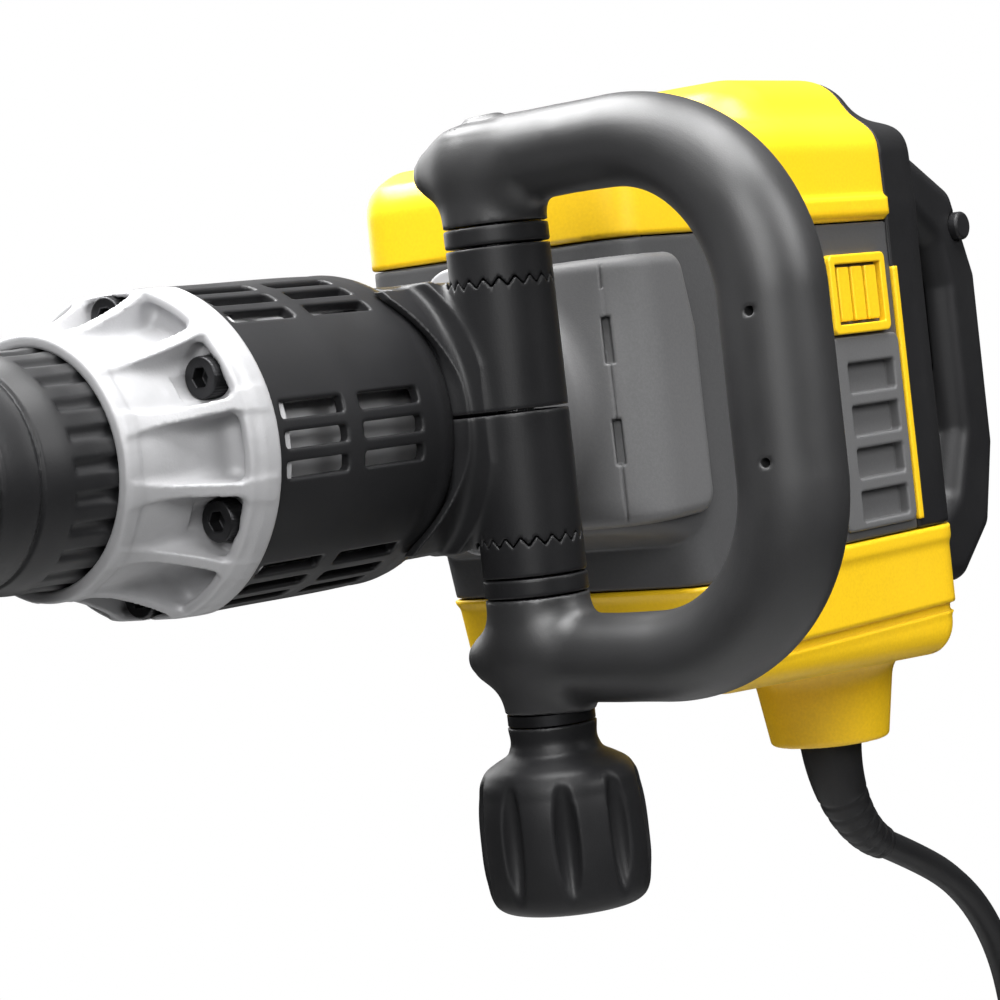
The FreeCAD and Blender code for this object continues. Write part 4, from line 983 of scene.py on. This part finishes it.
def make_boot():
    """Tapered strain relief bending out of the housing, ringed towards its tip."""
    middle = Vector((-BOSS_U - BOOT_BEND, 0, BOSS_LOW - 2))
    first, steps, count = -12, 90, 40
    points, faces = [], []
    for k in range(first, steps + 1):
        share = k / steps
        lean = math.radians(BOOT_TURN * max(share, 0))
        spot = middle + Vector((BOOT_BEND * math.cos(lean), 0, -BOOT_BEND * math.sin(lean)))
        spot.z += -min(share, 0) * 100
        out = Vector((math.cos(lean), 0, -math.sin(lean)))
        radius = BOOT_THICK + (BOOT_THIN - BOOT_THICK) * max(share, 0)
        if share > RINGS_FROM:
            radius -= 0.55 * max(0.0, math.sin((share - RINGS_FROM) * 2 * math.pi * BOOT_RINGS)) ** 2
        if k in (first, steps):
            radius -= 0.8
        for n in range(count):
            turn = 2 * math.pi * n / count
            across = Vector((0, math.sin(turn) * radius, 0))
            points.append(spot + out * math.cos(turn) * radius + across)
    last = (steps - first) * count
    for start in range(0, last, count):
        for n in range(count):
            a, b = start + n, start + (n + 1) % count
            faces.append((a, a + count, b + count, b))
    hub = len(points)
    points += [points[0].lerp(points[count // 2], 0.5), points[-count].lerp(points[-count // 2], 0.5)]
    for n in range(count):
        after = (n + 1) % count
        faces += [(hub, n, after), (hub + 1, last + after, last + n)]
    mesh = bpy.data.meshes.new("strain_relief")
    mesh.from_pydata([point * MM for point in points], [], faces)
    mesh.polygons.foreach_set("use_smooth", [True] * len(faces))
    mesh.update()
    return riding("strain_relief", mesh, RUBBER, "root", ("cord_boot",))


PLUG_X = -610.0
PLUG = profile((491.5, 7.4), (494, 8.4), (500, 9.0), (508, 11.5), (516, 15.5), (522, 17.6),
               (527, 18.0), (531, 18.0))


def plug_field(x, y, z):
    """Round plug body with a ringed neck and two finger grips."""
    down, off = -z, np.hypot(x - PLUG_X, y)
    body = both(off - PLUG(down), 491.5 - down)
    body = soften(body, down - 530, 1.4)
    for height in (497.0, 500.5, 504.0):
        body = carve(body, np.maximum(np.abs(down - height) - 0.6, 7.8 - off), 0.5)
    grip = np.maximum(np.abs(np.abs(x - PLUG_X) - 19.0) - 3.0, np.abs(down - 522) - 6)
    return carve(body, grip, 1.0)


def pin_field(x, y, z):
    """The two round pins."""
    off = np.hypot(x - PLUG_X, np.abs(y) - 9.5)
    return disc(off, -z, 2.4, 520, 549, 1.2)


def tie_field(x, y, z):
    """Strap round the top of the bundle, with its buckle above."""
    flat = polygon(y, z + 337, upright(-14, -14, 14, 14), 5.6)
    band = both(np.abs(flat) - 0.8, np.abs(x - COIL_X) - 5.0)
    buckle = box(x, y, z, (COIL_X - 6.5, -8, -318.4), (COIL_X + 6.5, 8, -314.2), 1.2)
    return melt(band, buckle, 0.8)


cord_item = make_cord()
boot_item = make_boot()
plug_item = solid("plug_body", plug_field, (PLUG_X - 20, -20, -532), (PLUG_X + 20, 20, -490), 0.7,
                  RUBBER, "root", "plug")
pins_item = solid("plug_pins", pin_field, (PLUG_X - 4, -13, -550), (PLUG_X + 4, 13, -519), 0.5,
                  BRASS, "root")
tie_item = solid("cord_tie", tie_field, (COIL_X - 8, -22, -359), (COIL_X + 8, 22, -312), 0.6,
                 BLACK, "root")


# ---------------------------------------------------------------- studio
FLOOR_Z = -0.551
WORLD_LIGHT = 0.32
MIDDLE = (-0.30, 0.0, 0.0)
FLOOR_RADIUS, RIM_POINTS = 2.0, 96


def panel(name, spot, width, height, power):
    """A soft light aimed at the middle of the tool."""
    data = bpy.data.lights.new(name, "AREA")
    data.shape, data.size, data.size_y = "RECTANGLE", width, height
    data.energy, data.color = power, (1.0, 1.0, 1.0)
    item = placed(name, data)
    item.location = spot
    item.rotation_mode = "QUATERNION"
    item.rotation_quaternion = (Vector(MIDDLE) - Vector(spot)).to_track_quat("-Z", "Y")


def make_floor():
    """A pale disc under the tool that fades out, so no horizon shows."""
    turns = [2 * math.pi * n / RIM_POINTS for n in range(RIM_POINTS)]
    rim = [(FLOOR_RADIUS * math.cos(turn), FLOOR_RADIUS * math.sin(turn), 0) for turn in turns]
    data = bpy.data.meshes.new("floor")
    data.from_pydata(rim, [], [tuple(range(RIM_POINTS))])
    item = placed("floor", data)
    item.location = (MIDDLE[0], 0, FLOOR_Z)
    material, tree, shader = nodes_of("pale_floor")
    tone = grey_ramp(tree, noise(tree, 3.0, 3.0), 0.29, 0.31)
    tree.links.new(tone, shader.inputs["Base Color"])
    shader.inputs["Roughness"].default_value = 0.9
    shader.inputs["Specular IOR Level"].default_value = 0.1
    length = tree.nodes.new("ShaderNodeVectorMath")
    length.operation = "LENGTH"
    tree.links.new(tree.nodes.new("ShaderNodeTexCoord").outputs["Object"], length.inputs[0])
    away = tree.nodes.new("ShaderNodeMath")
    away.operation = "DIVIDE"
    away.inputs[1].default_value = FLOOR_RADIUS
    tree.links.new(length.outputs["Value"], away.inputs[0])
    solidity = grey_ramp(tree, away.outputs[0], 1.0, 0.0, (0.16, 0.48))
    tree.links.new(solidity, shader.inputs["Alpha"])
    data.materials.append(material)
    item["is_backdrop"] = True


def make_world():
    """Soft light that is stronger from above; the camera itself sees plain white."""
    world = bpy.data.worlds.new("studio")
    bpy.context.scene.world = world
    world.use_nodes = True
    tree = world.node_tree
    light = tree.nodes["Background"]
    light.inputs["Strength"].default_value = WORLD_LIGHT
    where = tree.nodes.new("ShaderNodeTexCoord").outputs["Generated"]
    split = tree.nodes.new("ShaderNodeSeparateXYZ")
    tree.links.new(where, split.inputs[0])
    sky = ramp(tree, split.outputs["Z"], [(0.0, grey(0.05)), (0.5, grey(0.6)), (1.0, grey(1.0))])
    tree.links.new(sky, light.inputs["Color"])
    seen = tree.nodes.new("ShaderNodeBackground")
    seen.inputs["Color"].default_value = (1, 1, 1, 1)
    seen.inputs["Strength"].default_value = 1.0
    blend = tree.nodes.new("ShaderNodeMixShader")
    path = tree.nodes.new("ShaderNodeLightPath")
    tree.links.new(path.outputs["Is Camera Ray"], blend.inputs[0])
    tree.links.new(light.outputs[0], blend.inputs[1])
    tree.links.new(seen.outputs[0], blend.inputs[2])
    tree.links.new(blend.outputs[0], tree.nodes["World Output"].inputs["Surface"])


bpy.context.scene.view_settings.view_transform = "Standard"
make_floor()
make_world()
panel("key", (-0.15, 0.45, 1.6), 1.6, 1.1, 62.0)
panel("top", (-0.2, -0.8, 1.35), 1.5, 0.9, 58.0)
panel("fill", (1.5, 1.2, 0.8), 1.2, 0.9, 30.0)
panel("side", (-0.6, 1.8, 0.9), 1.0, 1.0, 20.0)
panel("back", (-0.9, -1.7, 0.6), 1.2, 1.0, 10.0)

low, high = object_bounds()
